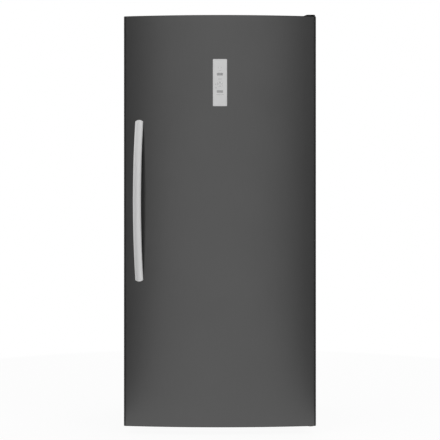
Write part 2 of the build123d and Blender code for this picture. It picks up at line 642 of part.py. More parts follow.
# ---------------------------------------------------------------- machine compartment: condenser and lines
COND_RUNS = 5
COND_PITCH = 30.0
COND_START = 5.0
COND_END = 345.0
COND_BOTTOM = 82.0
COND_Y = BACK - 40.0
LINE_X = COND_START - 40.0               # where the discharge line drops to the condenser
with BuildPart() as condenser_coil:
    cond_half = (COND_END - COND_START) / 2
    cond_plane = Plane(
        origin=((COND_START + COND_END) / 2, COND_Y, COND_BOTTOM), x_dir=(1, 0, 0), z_dir=(0, -1, 0),
    )
    cond_path = serpentine(cond_half, COND_PITCH, COND_RUNS, cond_plane)
    with BuildSketch(Plane(cond_path.wires()[0] ^ 0)):
        RegularPolygon(LINE_RADIUS, COIL_SIDES)
    sweep(path=cond_path.wires()[0], transition=Transition.RIGHT)
write(condenser_coil, "condenser_coil")


def line_tube(points):
    """A copper line along straight runs with mitred bends."""
    with BuildPart() as tube:
        with BuildLine() as route:
            Polyline(*points)
        with BuildSketch(Plane(route.wires()[0] ^ 0)):
            RegularPolygon(LINE_RADIUS, COIL_SIDES)
        sweep(path=route.wires()[0], transition=Transition.RIGHT)
    return tube.part


with BuildPart() as refrigerant_lines:
    add(line_tube([
        (COMP_X - SUCTION_STUB, EVAPORATOR_Y, STUB_Z),
        (SUCTION_X, EVAPORATOR_Y, STUB_Z),
        (SUCTION_X, EVAPORATOR_Y, EVAPORATOR_Z),
        (-EVAPORATOR_HALF, EVAPORATOR_Y, EVAPORATOR_Z),
    ]))
    add(line_tube([
        (DISCHARGE_X, COMP_Y + DISCHARGE_STUB, STUB_Z),
        (DISCHARGE_X, DISCHARGE_Y, STUB_Z),
        (LINE_X, DISCHARGE_Y, STUB_Z),
        (LINE_X, COND_Y, COND_BOTTOM),
        (COND_START, COND_Y, COND_BOTTOM),
    ]))
write(refrigerant_lines, "refrigerant_lines")

# ---------------------------------------------------------------- machine compartment: fan shroud
SHROUD_X = COND_MOTOR_END + FAN_GAP + HUB_LENGTH + 4.0
SHROUD_HALF = 76.0
SHROUD_WALL = 2.0
SHROUD_FOOT = 22.0
SHROUD_NEAR = COND_FAN_Y - SHROUD_HALF
SHROUD_FAR = COND_FAN_Y + SHROUD_HALF
ARM_X = COND_MOTOR_START + 5.0           # start of the motor's collar and its two arms
COLLAR_LENGTH = 8.0
STRUT_HALF = 6.0
with BuildPart() as fan_shroud:
    block(SHROUD_X, SHROUD_X + SHROUD_WALL, SHROUD_NEAR, SHROUD_FAR, DECK, COND_FAN_Z + SHROUD_HALF)
    block(SHROUD_X, SHROUD_X + SHROUD_FOOT, SHROUD_NEAR, SHROUD_FAR, DECK, DECK + SHROUD_WALL)
    prism_x(COND_FAN_Y, COND_FAN_Z, SHROUD_X - 1, SHROUD_X + 3, COND_FAN_RADIUS + 4, Mode.SUBTRACT, POT_SIDES)
    prism_x(COND_FAN_Y, COND_FAN_Z, ARM_X, ARM_X + COLLAR_LENGTH, MOTOR_RADIUS + 2 * SHROUD_WALL)
    for side in (-1, 1):
        y_out = COND_FAN_Y + side * (COND_FAN_RADIUS + 8)
        y_in = COND_FAN_Y + side * (MOTOR_RADIUS + 2)
        block(
            ARM_X, ARM_X + COLLAR_LENGTH / 2, min(y_in, y_out), max(y_in, y_out), COND_FAN_Z - STRUT_HALF,
            COND_FAN_Z + STRUT_HALF,
        )
        block(
            ARM_X, SHROUD_X + 1, y_out - SHROUD_WALL, y_out + SHROUD_WALL, COND_FAN_Z - STRUT_HALF,
            COND_FAN_Z + STRUT_HALF,
        )
    prism_x(COND_FAN_Y, COND_FAN_Z, COND_MOTOR_START, COND_MOTOR_END, MOTOR_RADIUS, Mode.SUBTRACT)
write(fan_shroud, "fan_shroud")

# ---------------------------------------------------------------- machine compartment: drain pan and tube
PAN_WALL = 2.0
PAN_RIM = DECK + 30.0
PAN_SPOT = (165.0, BACK - 120.0)
PAN_LENGTH = 300.0
PAN_DEPTH = 120.0
PAN_FLARE = -4.0                         # degrees
with BuildPart() as drain_pan:
    with BuildSketch(Plane.XY.offset(DECK)):
        with Locations(PAN_SPOT):
            Rectangle(PAN_LENGTH, PAN_DEPTH)
    extrude(amount=PAN_RIM - DECK, taper=PAN_FLARE)
    with BuildSketch(Plane.XY.offset(DECK + PAN_WALL)):
        with Locations(PAN_SPOT):
            Rectangle(PAN_LENGTH - 2 * PAN_WALL, PAN_DEPTH - 2 * PAN_WALL)
    extrude(amount=PAN_RIM - DECK, taper=PAN_FLARE, mode=Mode.SUBTRACT)
write(drain_pan, "drain_pan")

DRAIN_START = PAN_RIM - 8.0
DRAIN_TOP = HUMP_TOP + 3.0
DRAIN_WALL = 1.5
with BuildPart() as drain_tube:
    prism_z(DRAIN_X, DRAIN_Y, DRAIN_START, DRAIN_TOP, DRAIN_RADIUS)
    prism_z(DRAIN_X, DRAIN_Y, HUMP_TOP + PLAY / 3, DRAIN_TOP, DRAIN_RADIUS + 4.0)
    prism_z(DRAIN_X, DRAIN_Y, DRAIN_START - 1, DRAIN_TOP + 1, DRAIN_RADIUS - DRAIN_WALL, Mode.SUBTRACT)
write(drain_tube, "drain_tube")

# ---------------------------------------------------------------- machine compartment: rear cover and grommet
GLAND_X = 370.0
GLAND_Z = 70.0
GLAND_RADIUS = 9.0
COVER_Y = BACK - PANEL_RECESS            # the cover lies on the back panel and the rail's lip
VENT_ROWS = 5
VENT_SPOTS = [(-205.0, 145.0), (165.0, 145.0)]
VENT_SIZE = (84.0, 7.0)
VENT_GRID = (100.0, 26.0, 2, VENT_ROWS)
with BuildPart() as compartment_cover:
    block(-COVER_HALF, COVER_HALF, COVER_Y, COVER_Y + SHEET, COVER_BOTTOM, COVER_TOP)
    with BuildSketch(Plane.XZ.offset(-COVER_Y + 1)):
        with Locations(*VENT_SPOTS):
            with GridLocations(*VENT_GRID):
                Rectangle(*VENT_SIZE)
        with Locations((GLAND_X, GLAND_Z)):
            RegularPolygon(GLAND_RADIUS, SIDES, major_radius=False)
        with Locations(*COVER_SCREWS):
            RegularPolygon(SCREW_HOLE, SCREW_SIDES, major_radius=False)
    extrude(amount=-3 * SHEET, mode=Mode.SUBTRACT)
write(compartment_cover, "compartment_cover")

GLAND_BORE = 4.5
GLAND_FRONT = COVER_Y - 4.0
GLAND_REAR = COVER_Y + SHEET + 1.5
with BuildPart() as cord_grommet:
    prism_y(GLAND_X, GLAND_Z, GLAND_FRONT, COVER_Y - 0.1, GLAND_RADIUS + 3.0)
    prism_y(GLAND_X, GLAND_Z, GLAND_FRONT, GLAND_REAR, GLAND_RADIUS - 0.1)
    prism_y(GLAND_X, GLAND_Z, GLAND_FRONT - 1, GLAND_REAR + 1, GLAND_BORE, Mode.SUBTRACT)
write(cord_grommet, "cord_grommet")

# ---------------------------------------------------------------- hinges
PLATE = 3.5
PLATE_TOP_GAP = 1.2                      # door top to the underside of the upper hinge arm
ARM_HALF = 13.0
PLATE_HALF = 17.0
TOP_ARM = DOOR_TOP + PLATE_TOP_GAP       # underside of the upper hinge arm
TOP_PLATE = 3.0
HINGE_PLATE_BACK = FRONT + 74.0
JOGGLE_START = FRONT + 4.0               # where the upper arm bends down to the cabinet's top
JOGGLE_END = FRONT + 12.0
with BuildPart() as top_hinge:
    with BuildSketch(Plane.YZ.offset(HINGE_X - PLATE_HALF)):
        with BuildLine():
            joggle = Polyline(
                (HINGE_Y - ARM_HALF, TOP_ARM), (JOGGLE_START, TOP_ARM), (JOGGLE_END, TOP),
                (HINGE_PLATE_BACK, TOP),
            )
            offset(joggle, amount=TOP_PLATE, side=Side.LEFT)
        make_face()
    extrude(amount=2 * PLATE_HALF)
    with BuildSketch(Plane.XY.offset(TOP - 1)):
        with Locations((HINGE_X, HINGE_Y)):
            RegularPolygon(ARM_HALF, SIDES, major_radius=False)
        with Locations((HINGE_X, (HINGE_Y + JOGGLE_END) / 2)):
            Rectangle(2 * ARM_HALF, JOGGLE_END - HINGE_Y)
        with Locations((HINGE_X, (JOGGLE_END + HINGE_PLATE_BACK) / 2)):
            Rectangle(2 * PLATE_HALF, HINGE_PLATE_BACK - JOGGLE_END)
    extrude(amount=TOP_DROP + 10, mode=Mode.INTERSECT)
    post(HINGE_X, HINGE_Y, DOOR_TOP - PIN_INTO_DOOR, TOP_ARM + 1, PIN_RADIUS)
    for x, y in HINGE_SCREWS:
        screw_hole(x, y, TOP - 1, TOP + TOP_PLATE + 1)
write(top_hinge, "top_hinge")

PLATE_FRONT = FRONT + 6.0
with BuildPart() as bottom_hinge:
    with BuildSketch(Plane.XY.offset(BOTTOM - PLATE)):
        with Locations((HINGE_X, HINGE_Y)):
            RegularPolygon(ARM_HALF, SIDES, major_radius=False)
        with Locations((HINGE_X, (HINGE_Y + JOGGLE_END) / 2)):
            Rectangle(2 * ARM_HALF, JOGGLE_END - HINGE_Y)
        with Locations((HINGE_X, (PLATE_FRONT + HINGE_PLATE_BACK) / 2)):
            Rectangle(2 * PLATE_HALF, HINGE_PLATE_BACK - PLATE_FRONT)
    extrude(amount=PLATE)
    post(HINGE_X, HINGE_Y, BOTTOM - 1, DOOR_LIFT + PIN_INTO_DOOR, PIN_RADIUS)
    for x, y in HINGE_SCREWS:
        screw_hole(x, y, BOTTOM - PLATE - 1, BOTTOM + 1)
write(bottom_hinge, "bottom_hinge")

HEAD_RADIUS = 5.0
HEAD_HEIGHT = 4.0
COVER_HEAD_RADIUS = 4.5
COVER_HEAD_HEIGHT = 1.8
with BuildPart() as screws:
    for plane_z, depth, direction in (
        (TOP + TOP_PLATE, TOP_PLATE + SHEET + HINGE_SCREW_DEPTH, 1),
        (BOTTOM - PLATE, PLATE + SHEET + HINGE_SCREW_DEPTH, -1),
    ):
        for radius, amount in ((HEAD_RADIUS, direction * HEAD_HEIGHT), (SCREW_RADIUS, -direction * depth)):
            with BuildSketch(Plane.XY.offset(plane_z)):
                with Locations(*HINGE_SCREWS):
                    RegularPolygon(radius, 6)
            extrude(amount=amount)
    for radius, amount in ((COVER_HEAD_RADIUS, -COVER_HEAD_HEIGHT), (SCREW_RADIUS, 2 * SHEET)):
        with BuildSketch(Plane.XZ.offset(-COVER_Y - SHEET)):
            with Locations(*COVER_SCREWS):
                RegularPolygon(radius, 8)
        extrude(amount=amount)
write(screws, "screws")

COVER_LEFT = HINGE_X - 38.0
COVER_RIGHT = HALF - 3.0
COVER_FRONT = HINGE_Y - 18.0
COVER_REAR = HINGE_PLATE_BACK + 8.0
COVER_CREST = DOOR_TOP + 11.0
COVER_WALL = 1.5
COVER_SLOPE = 24.0                       # how far in the crest starts from the left end
COVER_BREAK = 4.0                        # cut corner at its right end
COVER_NOSE = 6.0                         # and the slopes of its crest towards the front and the rear
COVER_TAIL = 14.0
COVER_DIP = 2.5                          # front edge below the crest
COVER_FOOT = DOOR_TOP + 0.8              # its underside over the door


def hinge_cover_form(inset):
    """The hinge cover's outside, or its inside when inset by a wall: front view crossed with side view."""
    crest = COVER_CREST - inset
    with BuildPart() as form:
        with BuildSketch(Plane.XZ.offset(-COVER_FRONT - inset)):
            with BuildLine():
                Polyline(
                    (COVER_LEFT + 3 * inset, TOP), (COVER_LEFT + 3 * inset, DOOR_TOP + 1.0),
                    (COVER_LEFT + COVER_SLOPE + inset, crest), (COVER_RIGHT - inset - COVER_BREAK, crest),
                    (COVER_RIGHT - inset, crest - COVER_BREAK), (COVER_RIGHT - inset, TOP), close=True,
                )
            make_face()
        extrude(amount=-(COVER_REAR - COVER_FRONT - 2 * inset))
        with BuildSketch(Plane.YZ.offset(COVER_LEFT - 1)):
            with BuildLine():
                Polyline(
                    (COVER_FRONT, COVER_FOOT), (COVER_FRONT + inset, crest - COVER_DIP),
                    (COVER_FRONT + COVER_NOSE, crest), (COVER_REAR - COVER_TAIL, crest),
                    (COVER_REAR - inset, TOP), (FRONT + PLAY + inset, TOP),
                    (FRONT + PLAY + inset, COVER_FOOT), close=True,
                )
            make_face()
        extrude(amount=COVER_RIGHT - COVER_LEFT + 2, mode=Mode.INTERSECT)
    return form.part


with BuildPart() as top_hinge_cover:
    add(hinge_cover_form(0))
    add(hinge_cover_form(COVER_WALL), mode=Mode.SUBTRACT)
write(top_hinge_cover, "top_hinge_cover")

# ---------------------------------------------------------------- levelling legs
PAD_RADIUS = 18.0
PAD_HEIGHT = 9.0
PAD_BEVEL = 3.0
FLATS_RADIUS = 12.0                      # the hexagon that a spanner turns
FLATS_HEIGHT = 9.0
for side, name in ((-1, "leg_left"), (1, "leg_right")):
    with BuildPart() as leg:
        prism_z(side * LEG_X, LEG_Y, 0, PAD_HEIGHT, PAD_RADIUS)
        chamfer(leg.edges().group_by(Axis.Z)[-1], PAD_BEVEL)
        with BuildSketch(Plane.XY.offset(PAD_HEIGHT)):
            with Locations((side * LEG_X, LEG_Y)):
                RegularPolygon(FLATS_RADIUS, 6)
        extrude(amount=FLATS_HEIGHT)
        post(side * LEG_X, LEG_Y, PAD_HEIGHT + FLATS_HEIGHT - 1, LEG_STUD_TOP, LEG_STUD)
    write(leg, name)

# ---------------------------------------------------------------- cavity: light, door switch and its plunger
SWITCH_X = 250.0
SWITCH_Z = CAVITY_TOP - 26.0
RIDGE_DEPTH = 55.0                       # door liner ridge, behind the door's back
RIDGE_GAP = 11.0                         # ridge to cavity edge
RIDGE_WIDTH = 30.0
PLUNGER_TIP = DOOR_BACK + RIDGE_DEPTH + PLAY
PLUNGER_END = FRONT + 100.0
PLUNGER_RADIUS = 4.0
UNDER_ROOF = CAVITY_TOP - PLAY / 3
LENS_HALF = 75.0
LENS_FRONT = FRONT + 120.0
LENS_DEPTH = 56.0
LENS_HEIGHT = 14.0
LENS_BEVEL = 5.0
with BuildPart() as light_lens:
    block(-LENS_HALF, LENS_HALF, LENS_FRONT, LENS_FRONT + LENS_DEPTH, CAVITY_TOP - LENS_HEIGHT, UNDER_ROOF)
    chamfer(light_lens.faces().sort_by(Axis.Z)[0].edges(), LENS_BEVEL)
write(light_lens, "light_lens")

HOUSING_HALF = 14.0
HOUSING_FRONT = FRONT + 62.0
HOUSING_LENGTH = 56.0
HOUSING_BORE = 50.0                      # depth of the plunger's bore
HOUSING_BEVEL = 3.0
with BuildPart() as switch_housing:
    block(
        SWITCH_X - HOUSING_HALF, SWITCH_X + HOUSING_HALF, HOUSING_FRONT, HOUSING_FRONT + HOUSING_LENGTH,
        SWITCH_Z - 10.0, UNDER_ROOF,
    )
    chamfer(switch_housing.edges().filter_by(Axis.Y).group_by(Axis.Z)[0], HOUSING_BEVEL)
    rod_y(
        SWITCH_X, SWITCH_Z, HOUSING_FRONT - 1, HOUSING_FRONT + HOUSING_BORE, PLUNGER_RADIUS + 2 * RUNNING,
        Mode.SUBTRACT,
    )
write(switch_housing, "switch_housing")

with BuildPart() as switch_plunger:
    rod_y(SWITCH_X, SWITCH_Z, PLUNGER_TIP, PLUNGER_END, PLUNGER_RADIUS)
write(switch_plunger, "switch_plunger")

# ---------------------------------------------------------------- wire shelves
FRAME_WIRE = 3.0                         # radius of a frame wire
GRID_WIRE = 1.4
GRID_WIRES = 11
SHELF_HALF = CAVITY_HALF - 4.0
GRID_INSET = 26.0                        # outermost grid wire to the shelf's end
SHELF_CORNER = 14.0
SHELF_EDGE = SHELF_CORNER + 2.0          # depth of the lowest shelf's front and back frame pieces


def wire_loop(half_x, y0, y1, z, radius, corner):
    """A closed frame of square wire with cut corners, lying level."""
    near = y0 + corner
    far = y1 - corner
    inner = half_x - corner
    with BuildPart() as frame:
        with BuildLine() as route:
            Polyline(
                (half_x, near, z), (half_x, far, z), (inner, y1, z), (-inner, y1, z),
                (-half_x, far, z), (-half_x, near, z), (-inner, y0, z), (inner, y0, z), close=True,
            )
        with BuildSketch(Plane(origin=(half_x, near, z), x_dir=(1, 0, 0), z_dir=(0, 1, 0))):
            Rectangle(2 * radius, 2 * radius)
        sweep(path=route.wires()[0], transition=Transition.RIGHT)
    return frame.part


for number in range(SHELF_COUNT):
    rest = SHELF_FIRST + number * SHELF_PITCH + PLAY / 3
    wire_z = rest + FRAME_WIRE
    with BuildPart() as shelf:
        add(wire_loop(
            SHELF_HALF - FRAME_WIRE, SHELF_FRONT + FRAME_WIRE, SHELF_BACK - FRAME_WIRE, wire_z, FRAME_WIRE,
            SHELF_CORNER,
        ))
        depth = SHELF_BACK - SHELF_FRONT
        with BuildSketch(Plane.XZ.offset(-(SHELF_FRONT + FRAME_WIRE))):
            with Locations((0, wire_z)):
                with GridLocations(2 * (SHELF_HALF - GRID_INSET) / (GRID_WIRES - 1), 1, GRID_WIRES, 1):
                    Rectangle(2 * GRID_WIRE, 2 * GRID_WIRE)
        extrude(amount=-(depth - 2 * FRAME_WIRE))
        if number == 0:                  # over the basket each wire is a bar of its own between the frame's ends
            for y in (SHELF_FRONT + SHELF_EDGE, SHELF_BACK - SHELF_EDGE):
                split(bisect_by=Plane.XZ.offset(-y), keep=Keep.BOTH)
    write(shelf, f"shelf_{number + 1}")

# ---------------------------------------------------------------- wire basket on the lower runners
RIM_WIRE = 3.2
BASKET_FRONT = FRONT + 97.0
BASKET_BACK = HUMP_FRONT - 12.0
RIM_HALF = CAVITY_HALF - 9.0
RIM_Z = RAIL_TOP + RIM_WIRE + PLAY
BASKET_HALF = CAVITY_HALF - RAIL_WIDTH - 8.0
BASKET_FLOOR = CAVITY_FLOOR + 16.0
BASKET_WIRE = 1.8
ACROSS_WIRES = 9                         # wires that run front to back
ALONG_WIRES = 3                          # wires that run side to side
RIM_CORNER = 16.0
ACROSS_HALF = BASKET_HALF - 12.0         # middle to the outermost wire across
ALONG_INSET = 22.0                       # basket's front to the first wire along
PANEL_EDGE = 8.0                         # the walls and the floor are flat panels of wire that meet here


def basket_hoop(plane, half_span, height, radius):
    """A U of wire: up one wall, across the floor and up the other, in the given plane, open at the top."""
    with BuildPart() as hoop:
        with BuildSketch(plane):
            with BuildLine():
                outline = Polyline((-half_span, height), (-half_span, 0), (half_span, 0), (half_span, height))
                offset(outline, amount=2 * radius, side=Side.LEFT)
            make_face()
        extrude(amount=radius, both=True)
    return hoop.part


with BuildPart() as basket:
    add(wire_loop(RIM_HALF, BASKET_FRONT + RIM_WIRE, BASKET_BACK - RIM_WIRE, RIM_Z, RIM_WIRE, RIM_CORNER))
    hoop_height = RIM_Z - BASKET_FLOOR
    middle_y = (BASKET_FRONT + BASKET_BACK) / 2
    half_y = (BASKET_BACK - BASKET_FRONT) / 2 - RIM_WIRE
    for wire in range(ACROSS_WIRES):
        x = -ACROSS_HALF + wire * 2 * ACROSS_HALF / (ACROSS_WIRES - 1)
        add(basket_hoop(
            Plane(origin=(x, middle_y, BASKET_FLOOR), x_dir=(0, 1, 0), z_dir=(1, 0, 0)),
            half_y, hoop_height, BASKET_WIRE,
        ))
    along_pitch = (BASKET_BACK - BASKET_FRONT - 2 * ALONG_INSET) / (ALONG_WIRES - 1)
    for wire in range(ALONG_WIRES):
        y = BASKET_FRONT + ALONG_INSET + wire * along_pitch
        add(basket_hoop(
            Plane(origin=(0, y, BASKET_FLOOR - BASKET_WIRE), x_dir=(1, 0, 0), z_dir=(0, -1, 0)),
            BASKET_HALF, hoop_height + BASKET_WIRE, BASKET_WIRE,
        ))
    for side in (-1, 1):
        with BuildSketch(Plane.XZ.offset(-(BASKET_FRONT + RIM_WIRE))):
            with Locations((side * BASKET_HALF, RIM_Z)):
                Rectangle(4 * BASKET_WIRE, 2 * BASKET_WIRE)
        extrude(amount=-(BASKET_BACK - BASKET_FRONT - 2 * RIM_WIRE))
    for x in (PANEL_EDGE - BASKET_HALF, BASKET_HALF - PANEL_EDGE):
        split(bisect_by=Plane.YZ.offset(x), keep=Keep.BOTH)
    for y in (BASKET_FRONT + PANEL_EDGE, BASKET_BACK - PANEL_EDGE):
        split(bisect_by=Plane.XZ.offset(-y), keep=Keep.BOTH)
write(basket, "basket")

# ---------------------------------------------------------------- door: outline shared by skin, caps and foam
CAP_LIP = 2.0                            # end cap standing past the skin
CAP_PLUG = 18.0                          # end cap inside the skin
SKIN_FLANGE = 12.0


def door_outline(inset, back):
    """The door seen from above, inset from its outer face, closed by a straight back."""
    half = HALF - inset
    radius = BOW_RADIUS - inset
    corner_y = BOW_CENTRE - math.sqrt(radius**2 - half**2)
    with BuildSketch() as outline:
        with BuildLine():
            ThreePointArc((-half, corner_y), (0, BOW_CENTRE - radius), (half, corner_y))
            Polyline((half, corner_y), (half, back), (-half, back), (-half, corner_y))
        make_face()
        fillet(outline.vertices().group_by(Axis.Y)[0], DOOR_CORNER_RADIUS - inset)
    return outline.sketch


SKIN_BOTTOM = DOOR_LIFT + CAP_LIP
SKIN_TOP = DOOR_TOP - CAP_LIP
SKIN_BACK = DOOR_BACK - LINER
PANEL_OPENING_X = PANEL_WIDTH / 2 - 4.0
PANEL_OPENING_Z = PANEL_HEIGHT / 2 - 4.0
STUD_RADIUS = 4.0
STUD_OFFSET = HANDLE_LENGTH / 2 - 34.0
STUD_FLANGE = 8.0
STUD_FLANGE_THICK = 2.0
STUD_INSIDE = 14.0
STUD_OUTSIDE = 8.0
STUD_GAP = 0.1                           # stud to its holes


def handle_plane(height):
    """On the door's face under the handle: x along the face, y up, z outwards."""
    surface = DOOR_CORNER - bow_at(HANDLE_X)
    return Plane(
        origin=(HANDLE_X, surface, height),
        x_dir=(math.cos(HANDLE_LEAN), math.sin(HANDLE_LEAN), 0),
        z_dir=(math.sin(HANDLE_LEAN), -math.cos(HANDLE_LEAN), 0),
    )


STUD_HEIGHTS = [HANDLE_MIDDLE - STUD_OFFSET, HANDLE_MIDDLE + STUD_OFFSET]

with BuildPart() as door_skin:
    with BuildSketch(Plane.XY.offset(SKIN_BOTTOM)):
        add(door_outline(0, SKIN_BACK))
    extrude(amount=SKIN_TOP - SKIN_BOTTOM)
    with BuildSketch(Plane.XY.offset(SKIN_BOTTOM)):
        add(door_outline(SHEET, SKIN_BACK - SHEET))
    extrude(amount=SKIN_TOP - SKIN_BOTTOM, mode=Mode.SUBTRACT)
    block(
        -HALF + SKIN_FLANGE, HALF - SKIN_FLANGE, SKIN_BACK - 2 * SHEET, SKIN_BACK + SHEET, SKIN_BOTTOM - 1,
        SKIN_TOP + 1, Mode.SUBTRACT,
    )
    block(
        -PANEL_OPENING_X, PANEL_OPENING_X, DOOR_FRONT - 1, DOOR_FRONT + 3, PANEL_MIDDLE - PANEL_OPENING_Z,
        PANEL_MIDDLE + PANEL_OPENING_Z, Mode.SUBTRACT,
    )
    for height in STUD_HEIGHTS:
        with BuildSketch(handle_plane(height)):
            RegularPolygon(STUD_RADIUS + STUD_GAP, SIDES, major_radius=False)
        extrude(amount=5.0, both=True, mode=Mode.SUBTRACT)
write(door_skin, "door_skin")

# ---------------------------------------------------------------- door: end caps and hinge bushes
BUSH_RADIUS = 9.0
BUSH_LENGTH = PIN_INTO_DOOR + 2.0
BUSH_GAP = 0.1                           # bush to its hole and to the faces it lies between
BUSH_FLANGE = BUSH_RADIUS + 3.0
CAP_INSET = 0.4                          # cap's edge inside the skin's
CAP_EDGE = 0.8


def end_cap(outer, inward):
    """The moulded cap that closes the door's top or bottom; outer is its outside level, inward is -1 or 1."""
    with BuildPart() as cap:
        with BuildSketch(Plane.XY.offset(outer)):
            add(door_outline(CAP_INSET, DOOR_BACK - CAP_INSET))
        extrude(amount=inward * CAP_LIP)
        chamfer(cap.faces().sort_by(Axis.Z)[0 if inward > 0 else -1].edges(), CAP_EDGE)
        with BuildSketch(Plane.XY.offset(outer + inward * CAP_LIP)):
            add(door_outline(SHEET + FOAM_GAP, SKIN_BACK - SHEET - FOAM_GAP))
        extrude(amount=inward * CAP_PLUG)
        through = inward * (CAP_LIP + CAP_PLUG)
        prism(Plane.XY.offset(outer), HINGE_X, HINGE_Y, BUSH_RADIUS + BUSH_GAP, through, Mode.SUBTRACT)
    return cap


write(end_cap(DOOR_TOP, -1), "door_cap_top")
write(end_cap(DOOR_LIFT, 1), "door_cap_bottom")

BUSH_TOP = DOOR_TOP + PLATE_TOP_GAP - BUSH_GAP
BUSH_BOTTOM = DOOR_LIFT - WASHER + BUSH_GAP
with BuildPart() as hinge_bushes:
    prism_z(HINGE_X, HINGE_Y, DOOR_TOP - BUSH_LENGTH, BUSH_TOP, BUSH_RADIUS)
    prism_z(HINGE_X, HINGE_Y, DOOR_TOP + BUSH_GAP, BUSH_TOP, BUSH_FLANGE)
    prism_z(HINGE_X, HINGE_Y, BUSH_BOTTOM, DOOR_LIFT + BUSH_LENGTH, BUSH_RADIUS)
    prism_z(HINGE_X, HINGE_Y, BUSH_BOTTOM, DOOR_LIFT - BUSH_GAP, BUSH_FLANGE)
    post(HINGE_X, HINGE_Y, BUSH_BOTTOM - 1, BUSH_TOP + 1, PIN_RADIUS + RUNNING, Mode.SUBTRACT)
write(hinge_bushes, "hinge_bushes")

# ---------------------------------------------------------------- door: liner with its ridge, and the foam
RIDGE_HALF = CAVITY_HALF - RIDGE_GAP
RIDGE_BOTTOM = CAVITY_FLOOR + RIDGE_GAP
RIDGE_TOP = CAVITY_TOP - RIDGE_GAP
RIDGE_BACK = DOOR_BACK + RIDGE_DEPTH
RECESS_HALF = RIDGE_HALF - RIDGE_WIDTH
RECESS_BOTTOM = RIDGE_BOTTOM + RIDGE_WIDTH
RECESS_TOP = RIDGE_TOP - RIDGE_WIDTH
RECESS_FACE = DOOR_CORNER + 44.0         # the liner's flat middle, seen when the door is open
RIDGE_CORNER = 14.0
RIDGE_BEVEL = 6.0
LUG = 9.0                                # the steps that a door bin rests on
LUG_LENGTH = 70.0
LINER_CORNER = 4.0
POCKET_FRONT = DOOR_BACK - 3 * LINER     # the space behind the liner's flange
POCKET_BACK = DOOR_BACK - LINER
BIN_CLEAR = 1.0                          # bin end to the ridge


def ridge_form(shrink):
    """The ridge ring, from the door's back to its bevelled crest, shrunk inwards by shrink."""
    with BuildPart() as form:
        block(
            -RIDGE_HALF + shrink, RIDGE_HALF - shrink, DOOR_BACK - LINER - 1, RIDGE_BACK - shrink,
            RIDGE_BOTTOM + shrink, RIDGE_TOP - shrink,
        )
        chamfer(form.edges().filter_by(Axis.Y), RIDGE_CORNER)
        chamfer(form.faces().sort_by(Axis.Y)[-1].edges(), RIDGE_BEVEL)
        block(
            -RECESS_HALF - shrink, RECESS_HALF + shrink, DOOR_BACK - LINER - 2, RIDGE_BACK + 1,
            RECESS_BOTTOM - shrink, RECESS_TOP + shrink, Mode.SUBTRACT,
        )
    return form.part


with BuildPart() as door_liner:
    block(
        -HALF + SHEET, HALF - SHEET, DOOR_BACK - LINER, DOOR_BACK, SKIN_BOTTOM + SHEET, SKIN_TOP - SHEET,
    )
    fillet(door_liner.edges().filter_by(Axis.Y), LINER_CORNER)
    add(ridge_form(0))
    block(
        -RECESS_HALF - LINER, RECESS_HALF + LINER, RECESS_FACE - LINER, DOOR_BACK, RECESS_BOTTOM - LINER,
        RECESS_TOP + LINER,
    )
    add(ridge_form(LINER), mode=Mode.SUBTRACT)
    block(-HALF, HALF, POCKET_FRONT, POCKET_BACK, RIDGE_BOTTOM - 5, RECESS_BOTTOM - LINER, Mode.SUBTRACT)
    block(-HALF, HALF, POCKET_FRONT, POCKET_BACK, RECESS_TOP + LINER, RIDGE_TOP + 5, Mode.SUBTRACT)
    for side in (-1, 1):
        x0, x1 = sorted((side * (RECESS_HALF + LINER), side * HALF))
        block(x0, x1, POCKET_FRONT, POCKET_BACK, RECESS_BOTTOM - 10, RECESS_TOP + 10, Mode.SUBTRACT)
    block(
        -RECESS_HALF, RECESS_HALF, RECESS_FACE, RIDGE_BACK + 1, RECESS_BOTTOM, RECESS_TOP, Mode.SUBTRACT,
    )
    for side in (-1, 1):
        for number in range(BIN_COUNT):
            x0, x1 = sorted((side * (RECESS_HALF - LUG), side * (RECESS_HALF + LINER / 2)))
            step_top = BIN_FIRST + number * BIN_PITCH - PLAY
            block(x0, x1, RECESS_FACE - LINER / 2, RECESS_FACE + LUG_LENGTH, step_top - LUG, step_top)
write(door_liner, "door_liner")

